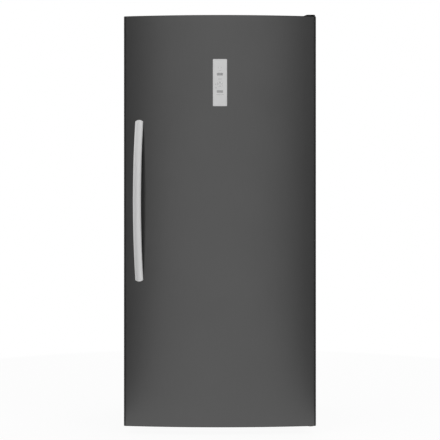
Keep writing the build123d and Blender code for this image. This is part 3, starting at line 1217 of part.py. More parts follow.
HOUSING_DEPTH = 20.0                     # pocket for the control panel's housing
with BuildPart() as door_insulation:
    with BuildSketch(Plane.XY.offset(SKIN_BOTTOM + CAP_PLUG)):
        add(door_outline(SHEET + FOAM_GAP, SKIN_BACK - SHEET))
    extrude(amount=SKIN_TOP - SKIN_BOTTOM - 2 * CAP_PLUG)
    add(ridge_form(LINER + FOAM_GAP))
    block(
        -RECESS_HALF - LINER, RECESS_HALF + LINER, RECESS_FACE - LINER, RIDGE_BACK, RECESS_BOTTOM - LINER,
        RECESS_TOP + LINER, Mode.SUBTRACT,
    )
    housing_back = DOOR_FRONT + SHEET + HOUSING_DEPTH
    block(
        -PANEL_WIDTH / 2, PANEL_WIDTH / 2, DOOR_FRONT, housing_back, PANEL_MIDDLE - PANEL_HEIGHT / 2,
        PANEL_MIDDLE + PANEL_HEIGHT / 2, Mode.SUBTRACT,
    )
    for height in STUD_HEIGHTS:
        with BuildSketch(handle_plane(height)):
            RegularPolygon(STUD_FLANGE + 0.2, 6)
        extrude(amount=-(SHEET + STUD_FLANGE_THICK + 0.6), mode=Mode.SUBTRACT)
        with BuildSketch(handle_plane(height)):
            RegularPolygon(STUD_RADIUS + STUD_GAP, SIDES, major_radius=False)
        extrude(amount=-(STUD_INSIDE + 1), mode=Mode.SUBTRACT)
    bush_hole = BUSH_RADIUS + BUSH_GAP
    prism_z(HINGE_X, HINGE_Y, DOOR_LIFT, DOOR_LIFT + BUSH_LENGTH + 1, bush_hole, Mode.SUBTRACT)
    prism_z(HINGE_X, HINGE_Y, DOOR_TOP - BUSH_LENGTH - 1, DOOR_TOP, bush_hole, Mode.SUBTRACT)
    for depth in (RECESS_FACE - LINER, SKIN_BACK - SHEET):
        split(bisect_by=Plane.XZ.offset(-depth), keep=Keep.BOTH)
    for height in (RECESS_BOTTOM - LINER, RECESS_TOP + LINER):
        split(bisect_by=Plane.XY.offset(height), keep=Keep.BOTH)
write(door_insulation, "door_insulation")

# ---------------------------------------------------------------- door: magnetic gasket
GASKET_INSET = 9.0                       # cavity edge to the gasket
GASKET_WIDTH = 28.0
GASKET_BASE = 3.0
GASKET_WALL = 1.6
BELLOWS_INSET = 4.0
BELLOWS_WIDTH = GASKET_WIDTH - 2 * BELLOWS_INSET


def mouth_ring(y, inner_gap, width):
    """A flat rectangular ring round the cavity's mouth, at one depth."""
    outer = inner_gap + width
    height = CAVITY_TOP - CAVITY_FLOOR
    with BuildSketch(Plane.XZ.offset(-y)) as ring:
        with Locations((0, (CAVITY_TOP + CAVITY_FLOOR) / 2)):
            Rectangle(2 * (CAVITY_HALF + outer), height + 2 * outer)
            Rectangle(2 * (CAVITY_HALF + inner_gap), height + 2 * inner_gap, mode=Mode.SUBTRACT)
    return ring.sketch


with BuildPart() as door_gasket:
    seal = FRONT - PLAY
    bellows_start = DOOR_BACK + GASKET_BASE
    extrude(mouth_ring(DOOR_BACK, GASKET_INSET, GASKET_WIDTH), amount=-GASKET_BASE)
    bellows = mouth_ring(bellows_start - 0.5, GASKET_INSET + BELLOWS_INSET, BELLOWS_WIDTH)
    extrude(bellows, amount=-(seal - bellows_start + 0.5))
    hollow = mouth_ring(
        bellows_start, GASKET_INSET + BELLOWS_INSET + GASKET_WALL, BELLOWS_WIDTH - 2 * GASKET_WALL,
    )
    extrude(hollow, amount=-(seal - GASKET_WALL - bellows_start), mode=Mode.SUBTRACT)
write(door_gasket, "door_gasket")

# ---------------------------------------------------------------- door: storage bins
BIN_WALL = 2.5
BIN_CORNER = 14.0
BIN_BOW = 7.0
BIN_HALF = RECESS_HALF - BIN_CLEAR
BIN_BACK_FACE = RECESS_FACE + PLAY
BIN_SHELF = 0.55                         # share of a bin's height where the slope of its ends starts
BIN_SLOPE_START = BIN_BACK_FACE + 18.0
BIN_SLOPE_END = BIN_BACK_FACE + 52.0


def bin_outline(inset):
    """A door bin seen from above: straight along the door, slightly bowed towards the cavity."""
    half = BIN_HALF - inset
    near = BIN_BACK_FACE + inset
    side_y = BIN_FACE - BIN_BOW - inset
    with BuildSketch() as outline:
        with BuildLine():
            ThreePointArc((-half, side_y), (0, BIN_FACE - inset), (half, side_y))
            Polyline((half, side_y), (half, near), (-half, near), (-half, side_y))
        make_face()
        fillet([v for v in outline.vertices() if v.Y > near + 1], BIN_CORNER - inset)
    return outline.sketch


for number in range(BIN_COUNT):
    base = BIN_FIRST + number * BIN_PITCH
    with BuildPart() as door_bin:
        with BuildSketch(Plane.XY.offset(base)):
            add(bin_outline(0))
        extrude(amount=BIN_HEIGHT)
        with BuildSketch(Plane.XY.offset(base + BIN_WALL)):
            add(bin_outline(BIN_WALL))
        extrude(amount=BIN_HEIGHT, mode=Mode.SUBTRACT)
        with BuildSketch(Plane.YZ.offset(-HALF)):
            with BuildLine():
                slope_start = base + BIN_SHELF * BIN_HEIGHT
                above = base + BIN_HEIGHT + 1
                Polyline(
                    (BIN_BACK_FACE - 1, slope_start), (BIN_SLOPE_START, slope_start), (BIN_SLOPE_END, above),
                    (BIN_BACK_FACE - 1, above), close=True,
                )
            make_face()
        extrude(amount=WIDTH, mode=Mode.SUBTRACT)
    write(door_bin, f"door_bin_{number + 1}")

# ---------------------------------------------------------------- door: bowed bar handle
HANDLE_GAP = 0.2                         # handle foot to the door's face
END_ROUND = 26.0                         # the bar's ends, seen from the front
BAR_SAGITTA = HANDLE_REACH - HANDLE_THICK
BACK_BEVEL = 3.0                         # cut corners of the bar's section, at its back and front
FRONT_BEVEL = 1.6
FOOT_SIDE = [                            # corners of a foot, from the bar's end and from the door's face
    (-9.0, 0.0),
    (-62.0, 0.0),
    (-66.0, 19.8),
    (-9.0, 5.8),
]
FOOT_HALF = 11.0
with BuildPart() as handle_bar:
    side_plane = Plane(
        origin=handle_plane(HANDLE_MIDDLE).origin,
        x_dir=(0, 0, 1),
        z_dir=(math.cos(HANDLE_LEAN), math.sin(HANDLE_LEAN), 0),
    )
    half_length = HANDLE_LENGTH / 2
    bar_rise = BAR_SAGITTA - HANDLE_GAP
    bar_radius = (half_length**2 + bar_rise**2) / (2 * bar_rise)
    across = Vector(math.cos(HANDLE_LEAN), math.sin(HANDLE_LEAN), 0)
    w = HANDLE_WIDTH / 2
    with BuildSketch(Plane(origin=side_plane.origin, x_dir=across, z_dir=(0, 0, -1))) as bar_section:
        with BuildLine():
            side_front = BAR_SAGITTA + HANDLE_SIDE
            crown_front = HANDLE_REACH
            Polyline((-w, side_front), (-w / 2, crown_front), (w / 2, crown_front), (w, side_front))
            Polyline(
                (w, side_front), (w, BAR_SAGITTA + BACK_BEVEL), (w - BACK_BEVEL, BAR_SAGITTA),
                (BACK_BEVEL - w, BAR_SAGITTA), (-w, BAR_SAGITTA + BACK_BEVEL), (-w, side_front),
            )
        make_face()
        chamfer(bar_section.vertices().filter_by(lambda v: abs(v.Y - side_front) < SAME_PLACE), FRONT_BEVEL)
    bar_centre = side_plane.origin + side_plane.y_dir * (BAR_SAGITTA - bar_radius)
    revolve(axis=Axis(bar_centre, across))
    with BuildSketch(handle_plane(HANDLE_MIDDLE).offset(-2)):
        with BuildLine():
            rise = END_ROUND - math.sqrt(END_ROUND**2 - w**2)
            flat = half_length - rise
            ThreePointArc((-w - 1, flat), (0, half_length), (w + 1, flat))
            Line((w + 1, flat), (w + 1, -flat))
            ThreePointArc((w + 1, -flat), (0, -half_length), (-w - 1, -flat))
            Line((-w - 1, -flat), (-w - 1, flat))
        make_face()
    extrude(amount=HANDLE_REACH + 10, mode=Mode.INTERSECT)
    for end in (-1, 1):
        foot = [(end * (half_length + along), HANDLE_GAP + out) for along, out in FOOT_SIDE]
        with BuildSketch(side_plane):
            with BuildLine():
                Polyline(*foot, close=True)
            make_face()
        extrude(amount=FOOT_HALF, both=True)
    for height in STUD_HEIGHTS:
        with BuildSketch(handle_plane(height)):
            RegularPolygon(STUD_RADIUS + STUD_GAP, SIDES, major_radius=False)
        extrude(amount=STUD_OUTSIDE + 1, mode=Mode.SUBTRACT)
write(handle_bar, "handle_bar")

with BuildPart() as handle_studs:
    for height in STUD_HEIGHTS:
        with BuildSketch(handle_plane(height).offset(-STUD_INSIDE)):
            RegularPolygon(STUD_RADIUS, SIDES)
        extrude(amount=STUD_INSIDE + STUD_OUTSIDE)
        with BuildSketch(handle_plane(height).offset(-SHEET - 0.2)):
            RegularPolygon(STUD_FLANGE, 6)
        extrude(amount=-STUD_FLANGE_THICK)
write(handle_studs, "handle_studs")

# ---------------------------------------------------------------- door: control panel
BEZEL_PROUD = 2.2                        # bezel rim in front of the door's middle
FACE_SINK = 0.7                          # panel face behind the rim
FACE_THICK = 1.4
RIM_WIDTH = 3.2
PANEL_CORNER = 3.0
BUTTON_PLAY = 0.25
WINDOW_Z = PANEL_MIDDLE + 36.5
WINDOW_SIZE = (26.5, 11.5)
PAD_Z = PANEL_MIDDLE - 6.5               # round pad whose halves are the two temperature buttons
PAD_OUTER = 12.0
PAD_INNER = 4.5
PAD_BRIDGE = 0.6                         # half the bar of the bezel between the two halves
PAD_SIDES = 24
PAD_PRESS = 8.5                          # pad's middle to where each half presses its switch
ALARM_Z = PANEL_MIDDLE - 38.5
ALARM_SIZE = (26.0, 10.0)
LENS_PLACES = [(0.0, PANEL_MIDDLE + 64.0), (0.0, PAD_Z)]
LENS_RADIUS = 2.4
RIM_BEVEL = 0.8
COLLAR_GAP = 0.2                         # the bezel's collar inside the opening of the skin
COLLAR_WALL = 2.0
COLLAR_DEPTH = 4.0
RIM_FRONT = DOOR_FRONT - BEZEL_PROUD
FACE_FRONT = RIM_FRONT + FACE_SINK
FACE_BACK = FACE_FRONT + FACE_THICK
BUTTON_PROUD = 0.5
BUTTON_TRAVEL = 0.8
BOARD_FRONT = DOOR_FRONT + 5.0
SWITCH_HEIGHT = 2.4

with BuildPart() as control_bezel:
    with BuildSketch(Plane.XZ.offset(-RIM_FRONT)):
        with Locations((0, PANEL_MIDDLE)):
            RectangleRounded(PANEL_WIDTH, PANEL_HEIGHT, PANEL_CORNER)
    extrude(amount=-(BEZEL_PROUD - 0.05))
    chamfer(control_bezel.faces().sort_by(Axis.Y)[0].edges(), RIM_BEVEL)
    with BuildSketch(Plane.XZ.offset(-RIM_FRONT)):
        with Locations((0, PANEL_MIDDLE)):
            Rectangle(PANEL_WIDTH - 2 * RIM_WIDTH, PANEL_HEIGHT - 2 * RIM_WIDTH)
    extrude(amount=-FACE_SINK, mode=Mode.SUBTRACT)
    collar_x = PANEL_OPENING_X - COLLAR_GAP
    collar_z = PANEL_OPENING_Z - COLLAR_GAP
    block(
        -collar_x, collar_x, FACE_BACK - 0.2, DOOR_FRONT + COLLAR_DEPTH, PANEL_MIDDLE - collar_z,
        PANEL_MIDDLE + collar_z,
    )
    hollow_x = collar_x - COLLAR_WALL
    hollow_z = collar_z - COLLAR_WALL
    block(
        -hollow_x, hollow_x, FACE_BACK, DOOR_FRONT + COLLAR_DEPTH + 1, PANEL_MIDDLE - hollow_z,
        PANEL_MIDDLE + hollow_z, Mode.SUBTRACT,
    )
    with BuildSketch(Plane.XZ.offset(-RIM_FRONT + 1)):
        with Locations((0, WINDOW_Z)):
            Rectangle(*WINDOW_SIZE)
        with Locations((0, PAD_Z)):
            RegularPolygon(PAD_OUTER + BUTTON_PLAY, PAD_SIDES, major_radius=False)
            RegularPolygon(PAD_INNER - BUTTON_PLAY, SIDES, mode=Mode.SUBTRACT)
            Rectangle(2 * PAD_OUTER + 2, 2 * PAD_BRIDGE, mode=Mode.SUBTRACT)
        with Locations((0, ALARM_Z)):
            Rectangle(ALARM_SIZE[0] + 2 * BUTTON_PLAY, ALARM_SIZE[1] + 2 * BUTTON_PLAY)
        with Locations(*LENS_PLACES):
            RegularPolygon(LENS_RADIUS, SIDES, major_radius=False)
    extrude(amount=-(FACE_THICK + FACE_SINK + 2), mode=Mode.SUBTRACT)
write(control_bezel, "control_bezel")

with BuildPart() as display_lenses:
    with BuildSketch(Plane.XZ.offset(-FACE_FRONT)):
        with Locations((0, WINDOW_Z)):
            Rectangle(WINDOW_SIZE[0] - 0.1, WINDOW_SIZE[1] - 0.1)
        with Locations(*LENS_PLACES):
            RegularPolygon(LENS_RADIUS - 0.05, SIDES, major_radius=False)
    extrude(amount=-FACE_THICK)
write(display_lenses, "display_lenses")

BUTTON_FRONT = FACE_FRONT - BUTTON_PROUD
BUTTON_BACK = BOARD_FRONT - SWITCH_HEIGHT - BUTTON_TRAVEL - 0.1
STEM_HALF = 2.0                          # half the stem that reaches back to the switch
for name, way in (("button_up", 1), ("button_down", -1)):
    with BuildPart() as button:
        with BuildSketch(Plane.XZ.offset(-BUTTON_FRONT)):
            with Locations((0, PAD_Z)):
                RegularPolygon(PAD_OUTER, PAD_SIDES, major_radius=False)
                RegularPolygon(PAD_INNER, SIDES, mode=Mode.SUBTRACT)
            with Locations((0, PAD_Z - way * (PAD_OUTER - PAD_BRIDGE - BUTTON_PLAY))):
                Rectangle(2 * PAD_OUTER + 2, 2 * PAD_OUTER, mode=Mode.SUBTRACT)
        extrude(amount=-(FACE_BACK + 1.0 - BUTTON_FRONT))
        press_z = PAD_Z + way * PAD_PRESS
        block(-STEM_HALF, STEM_HALF, FACE_BACK, BUTTON_BACK, press_z - STEM_HALF, press_z + STEM_HALF)
    write(button, name)

with BuildPart() as alarm_button:
    with BuildSketch(Plane.XZ.offset(-BUTTON_FRONT)):
        with Locations((0, ALARM_Z)):
            Rectangle(*ALARM_SIZE)
    extrude(amount=-(FACE_BACK + 1.0 - BUTTON_FRONT))
    block(-STEM_HALF, STEM_HALF, FACE_BACK, BUTTON_BACK, ALARM_Z - STEM_HALF, ALARM_Z + STEM_HALF)
write(alarm_button, "button_alarm")

BOARD_HALF = 22.0
BOARD_HALF_HEIGHT = 88.0
BOARD_THICK = 1.6
BOARD_BACK = BOARD_FRONT + BOARD_THICK
SWITCH_HALF = 3.0
with BuildPart() as control_board:
    block(
        -BOARD_HALF, BOARD_HALF, BOARD_FRONT, BOARD_BACK, PANEL_MIDDLE - BOARD_HALF_HEIGHT,
        PANEL_MIDDLE + BOARD_HALF_HEIGHT,
    )
    for height in (PAD_Z + PAD_PRESS, PAD_Z - PAD_PRESS, ALARM_Z):
        block(
            -SWITCH_HALF, SWITCH_HALF, BOARD_FRONT - SWITCH_HEIGHT, BOARD_FRONT + 0.5, height - SWITCH_HALF,
            height + SWITCH_HALF,
        )
    block(
        -WINDOW_SIZE[0] / 2 + 1, WINDOW_SIZE[0] / 2 - 1, FACE_BACK + PLAY, BOARD_FRONT + 0.5,
        WINDOW_Z - WINDOW_SIZE[1] / 2 + 1, WINDOW_Z + WINDOW_SIZE[1] / 2 - 1,
    )
write(control_board, "control_board")

HOUSING_WALL = 2.0
PEG_HALF = 8.0                           # the pegs behind the board
PEG_HALF_HEIGHT = 4.0
PEG_Z = 70.0
with BuildPart() as control_housing:
    hx = PANEL_WIDTH / 2 - 0.5
    hz = PANEL_HEIGHT / 2 - 0.5
    hy = DOOR_FRONT + SHEET + 0.6
    back = housing_back - PLAY
    inside = back - HOUSING_WALL
    block(-hx, hx, hy, back, PANEL_MIDDLE - hz, PANEL_MIDDLE + hz)
    block(
        -hx + HOUSING_WALL, hx - HOUSING_WALL, hy - 1, inside, PANEL_MIDDLE - hz + HOUSING_WALL,
        PANEL_MIDDLE + hz - HOUSING_WALL, Mode.SUBTRACT,
    )
    for side in (-1, 1):
        peg_z = PANEL_MIDDLE + side * PEG_Z
        block(
            -PEG_HALF, PEG_HALF, BOARD_BACK + PLAY / 3, inside + 0.5, peg_z - PEG_HALF_HEIGHT,
            peg_z + PEG_HALF_HEIGHT,
        )
write(control_housing, "control_housing")

print("cabinet front", round(FRONT, 2), "back", round(BACK, 2), "door corner", round(DOOR_CORNER, 2))
print("total height", COVER_CREST, "hinge axis", round(HINGE_X, 2), round(HINGE_Y, 2))
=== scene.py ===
import json
import math

import bmesh
import bpy
from bpy.props import FloatProperty, FloatVectorProperty, IntProperty, PointerProperty
from mathutils import Matrix, Vector


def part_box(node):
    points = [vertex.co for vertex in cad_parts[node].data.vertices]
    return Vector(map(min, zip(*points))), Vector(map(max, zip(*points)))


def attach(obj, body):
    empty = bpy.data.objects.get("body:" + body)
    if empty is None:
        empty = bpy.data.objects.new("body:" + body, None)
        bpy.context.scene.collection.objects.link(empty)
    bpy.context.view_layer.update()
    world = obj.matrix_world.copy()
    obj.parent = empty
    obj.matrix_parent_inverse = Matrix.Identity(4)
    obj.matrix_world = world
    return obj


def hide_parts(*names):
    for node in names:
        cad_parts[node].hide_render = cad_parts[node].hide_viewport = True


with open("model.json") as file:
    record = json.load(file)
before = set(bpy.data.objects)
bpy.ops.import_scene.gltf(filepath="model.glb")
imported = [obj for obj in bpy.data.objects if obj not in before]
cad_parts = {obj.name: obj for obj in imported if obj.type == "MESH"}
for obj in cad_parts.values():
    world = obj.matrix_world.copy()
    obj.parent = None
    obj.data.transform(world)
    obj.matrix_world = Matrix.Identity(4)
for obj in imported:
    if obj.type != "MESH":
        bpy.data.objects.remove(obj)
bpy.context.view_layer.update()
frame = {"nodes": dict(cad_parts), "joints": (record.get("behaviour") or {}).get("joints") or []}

bl_info = {
    "name": "Upright Freezer",
    "version": (1, 0, 0),
    "blender": (4, 5, 0),
    "location": "3D View > Sidebar > Freezer",
    "description": "Makes the visible pieces, finishes and stage of an upright freezer round its packed frame",
    "category": "Object",
}

# ---- places read from the frame, in metres
SKIN_LOW, SKIN_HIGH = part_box("door_skin")
SHELL_LOW, SHELL_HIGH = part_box("side_panel_left")[0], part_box("side_panel_right")[1]
LINER_LOW, LINER_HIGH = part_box("liner")
CAP_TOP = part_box("door_cap_top")[1].z
FACE_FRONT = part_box("display_lenses")[0].y
DOOR_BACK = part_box("door_gasket")[0].y
DOOR_HALF = SKIN_HIGH.x
CABINET_FRONT, CABINET_BACK = SHELL_LOW.y, SHELL_HIGH.y

# ---- places that the frame's boxes don't give
DOOR_BOW = 0.030                          # the door's middle stands this far in front of its corners
DOOR_CORNER = SKIN_LOW.y + DOOR_BOW
BOW_RADIUS = DOOR_HALF ** 2 / (2 * DOOR_BOW) + DOOR_BOW / 2
LINER_WALL = 0.002
PAD_MIDDLE = 1.5215                       # heights on the control panel
WINDOW_MIDDLE = 1.5645
UPPER_LAMP = PAD_MIDDLE + 0.0705
NEAR = 1e-6                               # places that differ by less are the same


def bow_at(x):
    """How far the door's face stands in front of its corners at x."""
    return math.sqrt(BOW_RADIUS ** 2 - x ** 2) - (BOW_RADIUS - DOOR_BOW)


def tone(red, green=None, blue=None):
    """A colour given by its screen levels, 0 to 255, as linear numbers."""
    levels = (red, red if green is None else green, red if blue is None else blue)
    return tuple(
        (level / 255 / 12.92) if level <= 10 else ((level / 255 + 0.055) / 1.055) ** 2.4 for level in levels
    ) + (1.0,)


def length(label, text, default):
    """A length that a user may change."""
    return FloatProperty(name=label, description=text, default=default, unit="LENGTH")


def colour(label, text, default):
    """A colour that a user may change."""
    return FloatVectorProperty(
        name=label, description=text, default=default, size=4, min=0.0, max=1.0, subtype="COLOR"
    )


class FreezerSizes(bpy.types.PropertyGroup):
    """Sizes of the freezer's fine detail."""

    door_corner: length("Door corner", "Radius of the door's rolled upright edges", 0.007)
    door_flange: length("Door flange", "Depth of the skin's folded rear edges", 0.012)
    cover_edge: length("Hinge cover edge", "Rounding of the hinge cover's edges", 0.0016)
    cap_edge: length("Cap edge", "Rounding of the door's end caps", 0.0008)
    handle_width: length("Handle width", "Width of the bar across the door", 0.034)
    handle_thick: length("Handle thickness", "Thickness of the bar at its crown", 0.015)
    handle_side: length("Handle edge", "Thickness of the bar at its long edges", 0.0105)
    handle_reach: length("Handle reach", "Door face to the front of the bar at its middle", 0.068)
    handle_length: length("Handle length", "Length of the bar", 0.700)
    handle_end: length("Handle end", "Radius of the bar's rounded ends", 0.026)
    shelf_frame: length("Shelf frame wire", "Radius of a shelf's frame wire", 0.003)
    shelf_wire: length("Shelf wire", "Radius of a shelf's fine wires", 0.0016)
    shelf_wires: IntProperty(name="Shelf wires", description="Fine wires in one shelf", default=31, min=5, max=60)
    basket_wire: length("Basket wire", "Radius of the basket's wires", 0.0018)
    basket_across: IntProperty(name="Basket hoops", description="Hoops from front to back", default=21, min=5)
    basket_along: IntProperty(name="Basket cross hoops", description="Hoops from side to side", default=7, min=3)
    liner_corner: length("Liner corner", "Radius of the corners inside the cabinet", 0.020)
    ridge_corner: length("Door ridge crest", "Rounding of the door liner's ridge", 0.008)
    tube: length("Tube", "Outside radius of the cooling tubes", 0.004)


class FreezerColours(bpy.types.PropertyGroup):
    """Colours of the freezer's finishes."""

    door: colour("Door", "Brushed charcoal steel of the door", tone(93))
    # the door's edge colour is painted shade: it stands for the darker reflection on the rolled edges, not for a paint
    # of another colour
    door_edge_shade: colour("Door edge", "Dark painted edge of the door", tone(24))
    cabinet: colour("Cabinet", "Painted steel of the sides and top", tone(52, 53, 54))
    handle: colour("Handle", "Satin silver of the handle", tone(222))
    panel: colour("Panel", "Silver plastic of the control panel", tone(209))
    button: colour("Buttons", "Plastic of the temperature buttons", tone(216))
    alarm: colour("Alarm button", "Grey plastic of the alarm button", tone(164))
    lamp: colour("Panel lamps", "Small lamp lenses of the panel", tone(238))
    print_dark: colour("Print", "Printed marks beside the buttons", tone(100))
    lens: colour("Display", "Grey display behind its window", tone(158))
    lens_ink: colour("Display figures", "Dark figures in the display", tone(84))
    black_plastic: colour("Black plastic", "Caps and feet", tone(26))
    cover: colour("Hinge cover", "Black plastic over the upper hinge", tone(7))
    white_plastic: colour("White plastic", "Liners, duct cover and trims", tone(238, 239, 240))
    light_cover: colour("Light cover", "Ribbed cover of the light", tone(244))
    bin_plastic: colour("Bin plastic", "Door bins", tone(226, 231, 235))
    wire: colour("Wire coating", "Coated wire of shelves and basket", tone(236))
    gasket: colour("Gasket", "Vinyl of the door's gasket", tone(92, 93, 95))
    zinc: colour("Zinc", "Galvanised sheet", tone(178, 181, 184))
    plated: colour("Plated steel", "Hinges and screws", tone(172, 171, 168))
    black_enamel: colour("Black enamel", "Compressor and condenser", tone(30, 31, 33))
    copper: colour("Copper", "Copper lines", tone(190, 112, 78))
    aluminium: colour("Aluminium", "Coil, fins and heater", tone(196, 198, 200))
    rubber: colour("Rubber", "Grommets and rollers", tone(30))
    foam: colour("Foam", "Insulating foam", tone(232, 214, 150))
    board: colour("Circuit board", "Circuit board", tone(24, 92, 60))
    floor: colour("Floor", "Pale floor", tone(245))


# ---- shared effects, as node groups

VECTOR, NUMBER, PAINT = "NodeSocketVector", "NodeSocketFloat", "NodeSocketColor"


def fill(tree, made, inputs):
    """Gives a node's inputs their values or links."""
    for key, value in inputs.items():
        if isinstance(value, bpy.types.NodeSocket):
            tree.links.new(value, made.inputs[key])
        else:
            made.inputs[key].default_value = value


def node(tree, kind, inputs=None, **settings):
    """Adds a node, with its settings and with values or links for its inputs."""
    made = tree.nodes.new("ShaderNode" + kind)
    for key, value in settings.items():
        setattr(made, key, value)
    fill(tree, made, inputs or {})
    return made


def maths(tree, operation, first, second):
    """A sum of two values or links."""
    return node(tree, "Math", {0: first, 1: second}, operation=operation).outputs[0]


def noise(tree, spot, size, detail, rough=0.5):
    """Fractal noise."""
    return node(tree, "TexNoise", {"Vector": spot, "Scale": size, "Detail": detail, "Roughness": rough}).outputs[0]


def ramp(tree, value, low, high, start=0.0, end=1.0):
    """Maps low to start and high to end."""
    limits = {"Value": value, "From Min": low, "From Max": high, "To Min": start, "To Max": end}
    return node(tree, "MapRange", limits).outputs[0]


def effect(name, output, kind=NUMBER, **inputs):
    """Starts a shared effect: a node group with named inputs and one output."""
    group = bpy.data.node_groups.new(name, "ShaderNodeTree")
    for label, sort in inputs.items():
        group.interface.new_socket(name=label, in_out="INPUT", socket_type=sort)
    group.interface.new_socket(name=output, in_out="OUTPUT", socket_type=kind)
    return group, group.nodes.new("NodeGroupInput").outputs, group.nodes.new("NodeGroupOutput").inputs


def make_brushed_lines():
    """Fine lines along one direction, as a mask."""
    group, given, out = effect("Brushed Lines", "Mask", Coordinates=VECTOR, Stretch=VECTOR, Contrast=NUMBER)
    spot = node(group, "VectorMath", {0: given["Coordinates"], 1: given["Stretch"]}, operation="MULTIPLY").outputs[0]
    low, high = (maths(group, way, 0.5, given["Contrast"]) for way in ("SUBTRACT", "ADD"))
    group.links.new(ramp(group, noise(group, spot, 1.0, 4.0, 0.65), low, high), out["Mask"])


def make_drift():
    """A slow change over the surface, between two values."""
    group, given, out = effect("Drift", "Value", Coordinates=VECTOR, Size=NUMBER, From=NUMBER, To=NUMBER)
    cloud = noise(group, given["Coordinates"], given["Size"], 4.0, 0.55)
    group.links.new(ramp(group, cloud, 0.3, 0.7, given["From"], given["To"]), out["Value"])


def make_peel():
    """The fine bumps of sprayed paint or moulded plastic, as a height."""
    group, given, out = effect("Surface Peel", "Height", Coordinates=VECTOR, Size=NUMBER)
    cells = node(
        group, "TexVoronoi", {"Vector": given["Coordinates"], "Scale": given["Size"], "Smoothness": 0.8},
        feature="SMOOTH_F1",
    )
    grain = noise(group, given["Coordinates"], given["Size"], 2.0)
    group.links.new(maths(group, "ADD", cells.outputs["Distance"], grain), out["Height"])


def make_tint():
    """Darkens a colour where a mask says so."""
    group, given, out = effect("Tint", "Colour", PAINT, Colour=PAINT, Mask=NUMBER, Amount=NUMBER)
    keep = maths(group, "SUBTRACT", 1.0, maths(group, "MULTIPLY", given["Mask"], given["Amount"]))
    shade = node(group, "VectorMath", {0: given["Colour"], "Scale": keep}, operation="SCALE")
    group.links.new(shade.outputs[0], out["Colour"])


def make_spangle():
    """The crystal pattern of galvanised sheet, as a mask."""
    group, given, out = effect("Zinc Spangle", "Mask", Coordinates=VECTOR, Size=NUMBER)
    cells = node(group, "TexVoronoi", {"Vector": given["Coordinates"], "Scale": given["Size"]})
    parts = node(group, "SeparateColor", {"Color": cells.outputs["Color"]})
    group.links.new(parts.outputs[0], out["Mask"])


def make_dust():
    """Thin dust on what faces up, and scuffs near the floor, as a mask."""
    group, given, out = effect("Dust", "Mask", Coordinates=VECTOR)
    facing = node(group, "SeparateXYZ", {"Vector": node(group, "NewGeometry").outputs["Normal"]})
    up = ramp(group, facing.outputs["Z"], 0.5, 1.0, 0.0, 0.7)
    height = node(group, "SeparateXYZ", {"Vector": given["Coordinates"]})
    low = ramp(group, height.outputs["Z"], 0.22, 0.0, 0.0, 0.5)
    patch = ramp(group, noise(group, given["Coordinates"], 24.0, 6.0, 0.7), 0.35, 0.75)
    group.links.new(maths(group, "MULTIPLY", maths(group, "MAXIMUM", up, low), patch), out["Mask"])


def place_effect(tree, name, **inputs):
    """Places a shared effect in a material."""
    return node(tree, "Group", inputs, node_tree=bpy.data.node_groups[name]).outputs[0]


# ---- finishes

UP_GRAIN = (900.0, 900.0, 14.0)           # lines that run up and down
SIDE_GRAIN = (14.0, 900.0, 900.0)         # lines that run from side to side
GLOSS_DRIFT = 2.7                         # the gloss changes over shorter ways than the colour


def finish(name, base, rough, metallic=0.0, drift=3.0, shade=0.05, lines=None, peel=None, spangle=None, dust=0.0,
           coat=0.0, **fixed):
    """One finish. rough is its lowest and highest roughness, drift and shade the size and strength of its slow
    change, lines (stretch, contrast, tint, bump), peel (size, bump) and spangle (size, tint)."""
    made = bpy.data.materials.new(name)
    made.use_nodes = True
    made.diffuse_color = base
    tree = made.node_tree
    spot = node(tree, "TexCoord").outputs["Object"]
    dye = node(tree, "RGB").outputs[0]
    dye.default_value = base
    cloud = place_effect(tree, "Drift", Coordinates=spot, Size=drift, From=0.0, To=1.0)
    paint = place_effect(tree, "Tint", Colour=dye, Mask=cloud, Amount=shade)
    gloss = place_effect(tree, "Drift", Coordinates=spot, Size=drift * GLOSS_DRIFT, From=rough[0], To=rough[1])
    inputs = {"Roughness": gloss, "Metallic": metallic, "Coat Weight": coat}
    inputs.update((key.replace("_", " "), value) for key, value in fixed.items())
    if lines:
        stretch, contrast, tint, depth = lines
        streaks = place_effect(tree, "Brushed Lines", Coordinates=spot, Stretch=stretch, Contrast=contrast)
        paint = place_effect(tree, "Tint", Colour=paint, Mask=streaks, Amount=tint)
        inputs["Normal"] = node(tree, "Bump", {"Height": streaks, "Strength": 0.3, "Distance": depth}).outputs[0]
    if spangle:
        cells = place_effect(tree, "Zinc Spangle", Coordinates=spot, Size=spangle[0])
        paint = place_effect(tree, "Tint", Colour=paint, Mask=cells, Amount=spangle[1])
    if peel:
        grain = place_effect(tree, "Surface Peel", Coordinates=spot, Size=peel[0])
        inputs["Normal"] = node(tree, "Bump", {"Height": grain, "Strength": 0.35, "Distance": peel[1]}).outputs[0]
    if dust:
        grime = place_effect(tree, "Dust", Coordinates=spot)
        paint = place_effect(tree, "Tint", Colour=paint, Mask=grime, Amount=dust)
    fill(tree, tree.nodes["Principled BSDF"], {"Base Color": paint, **inputs})


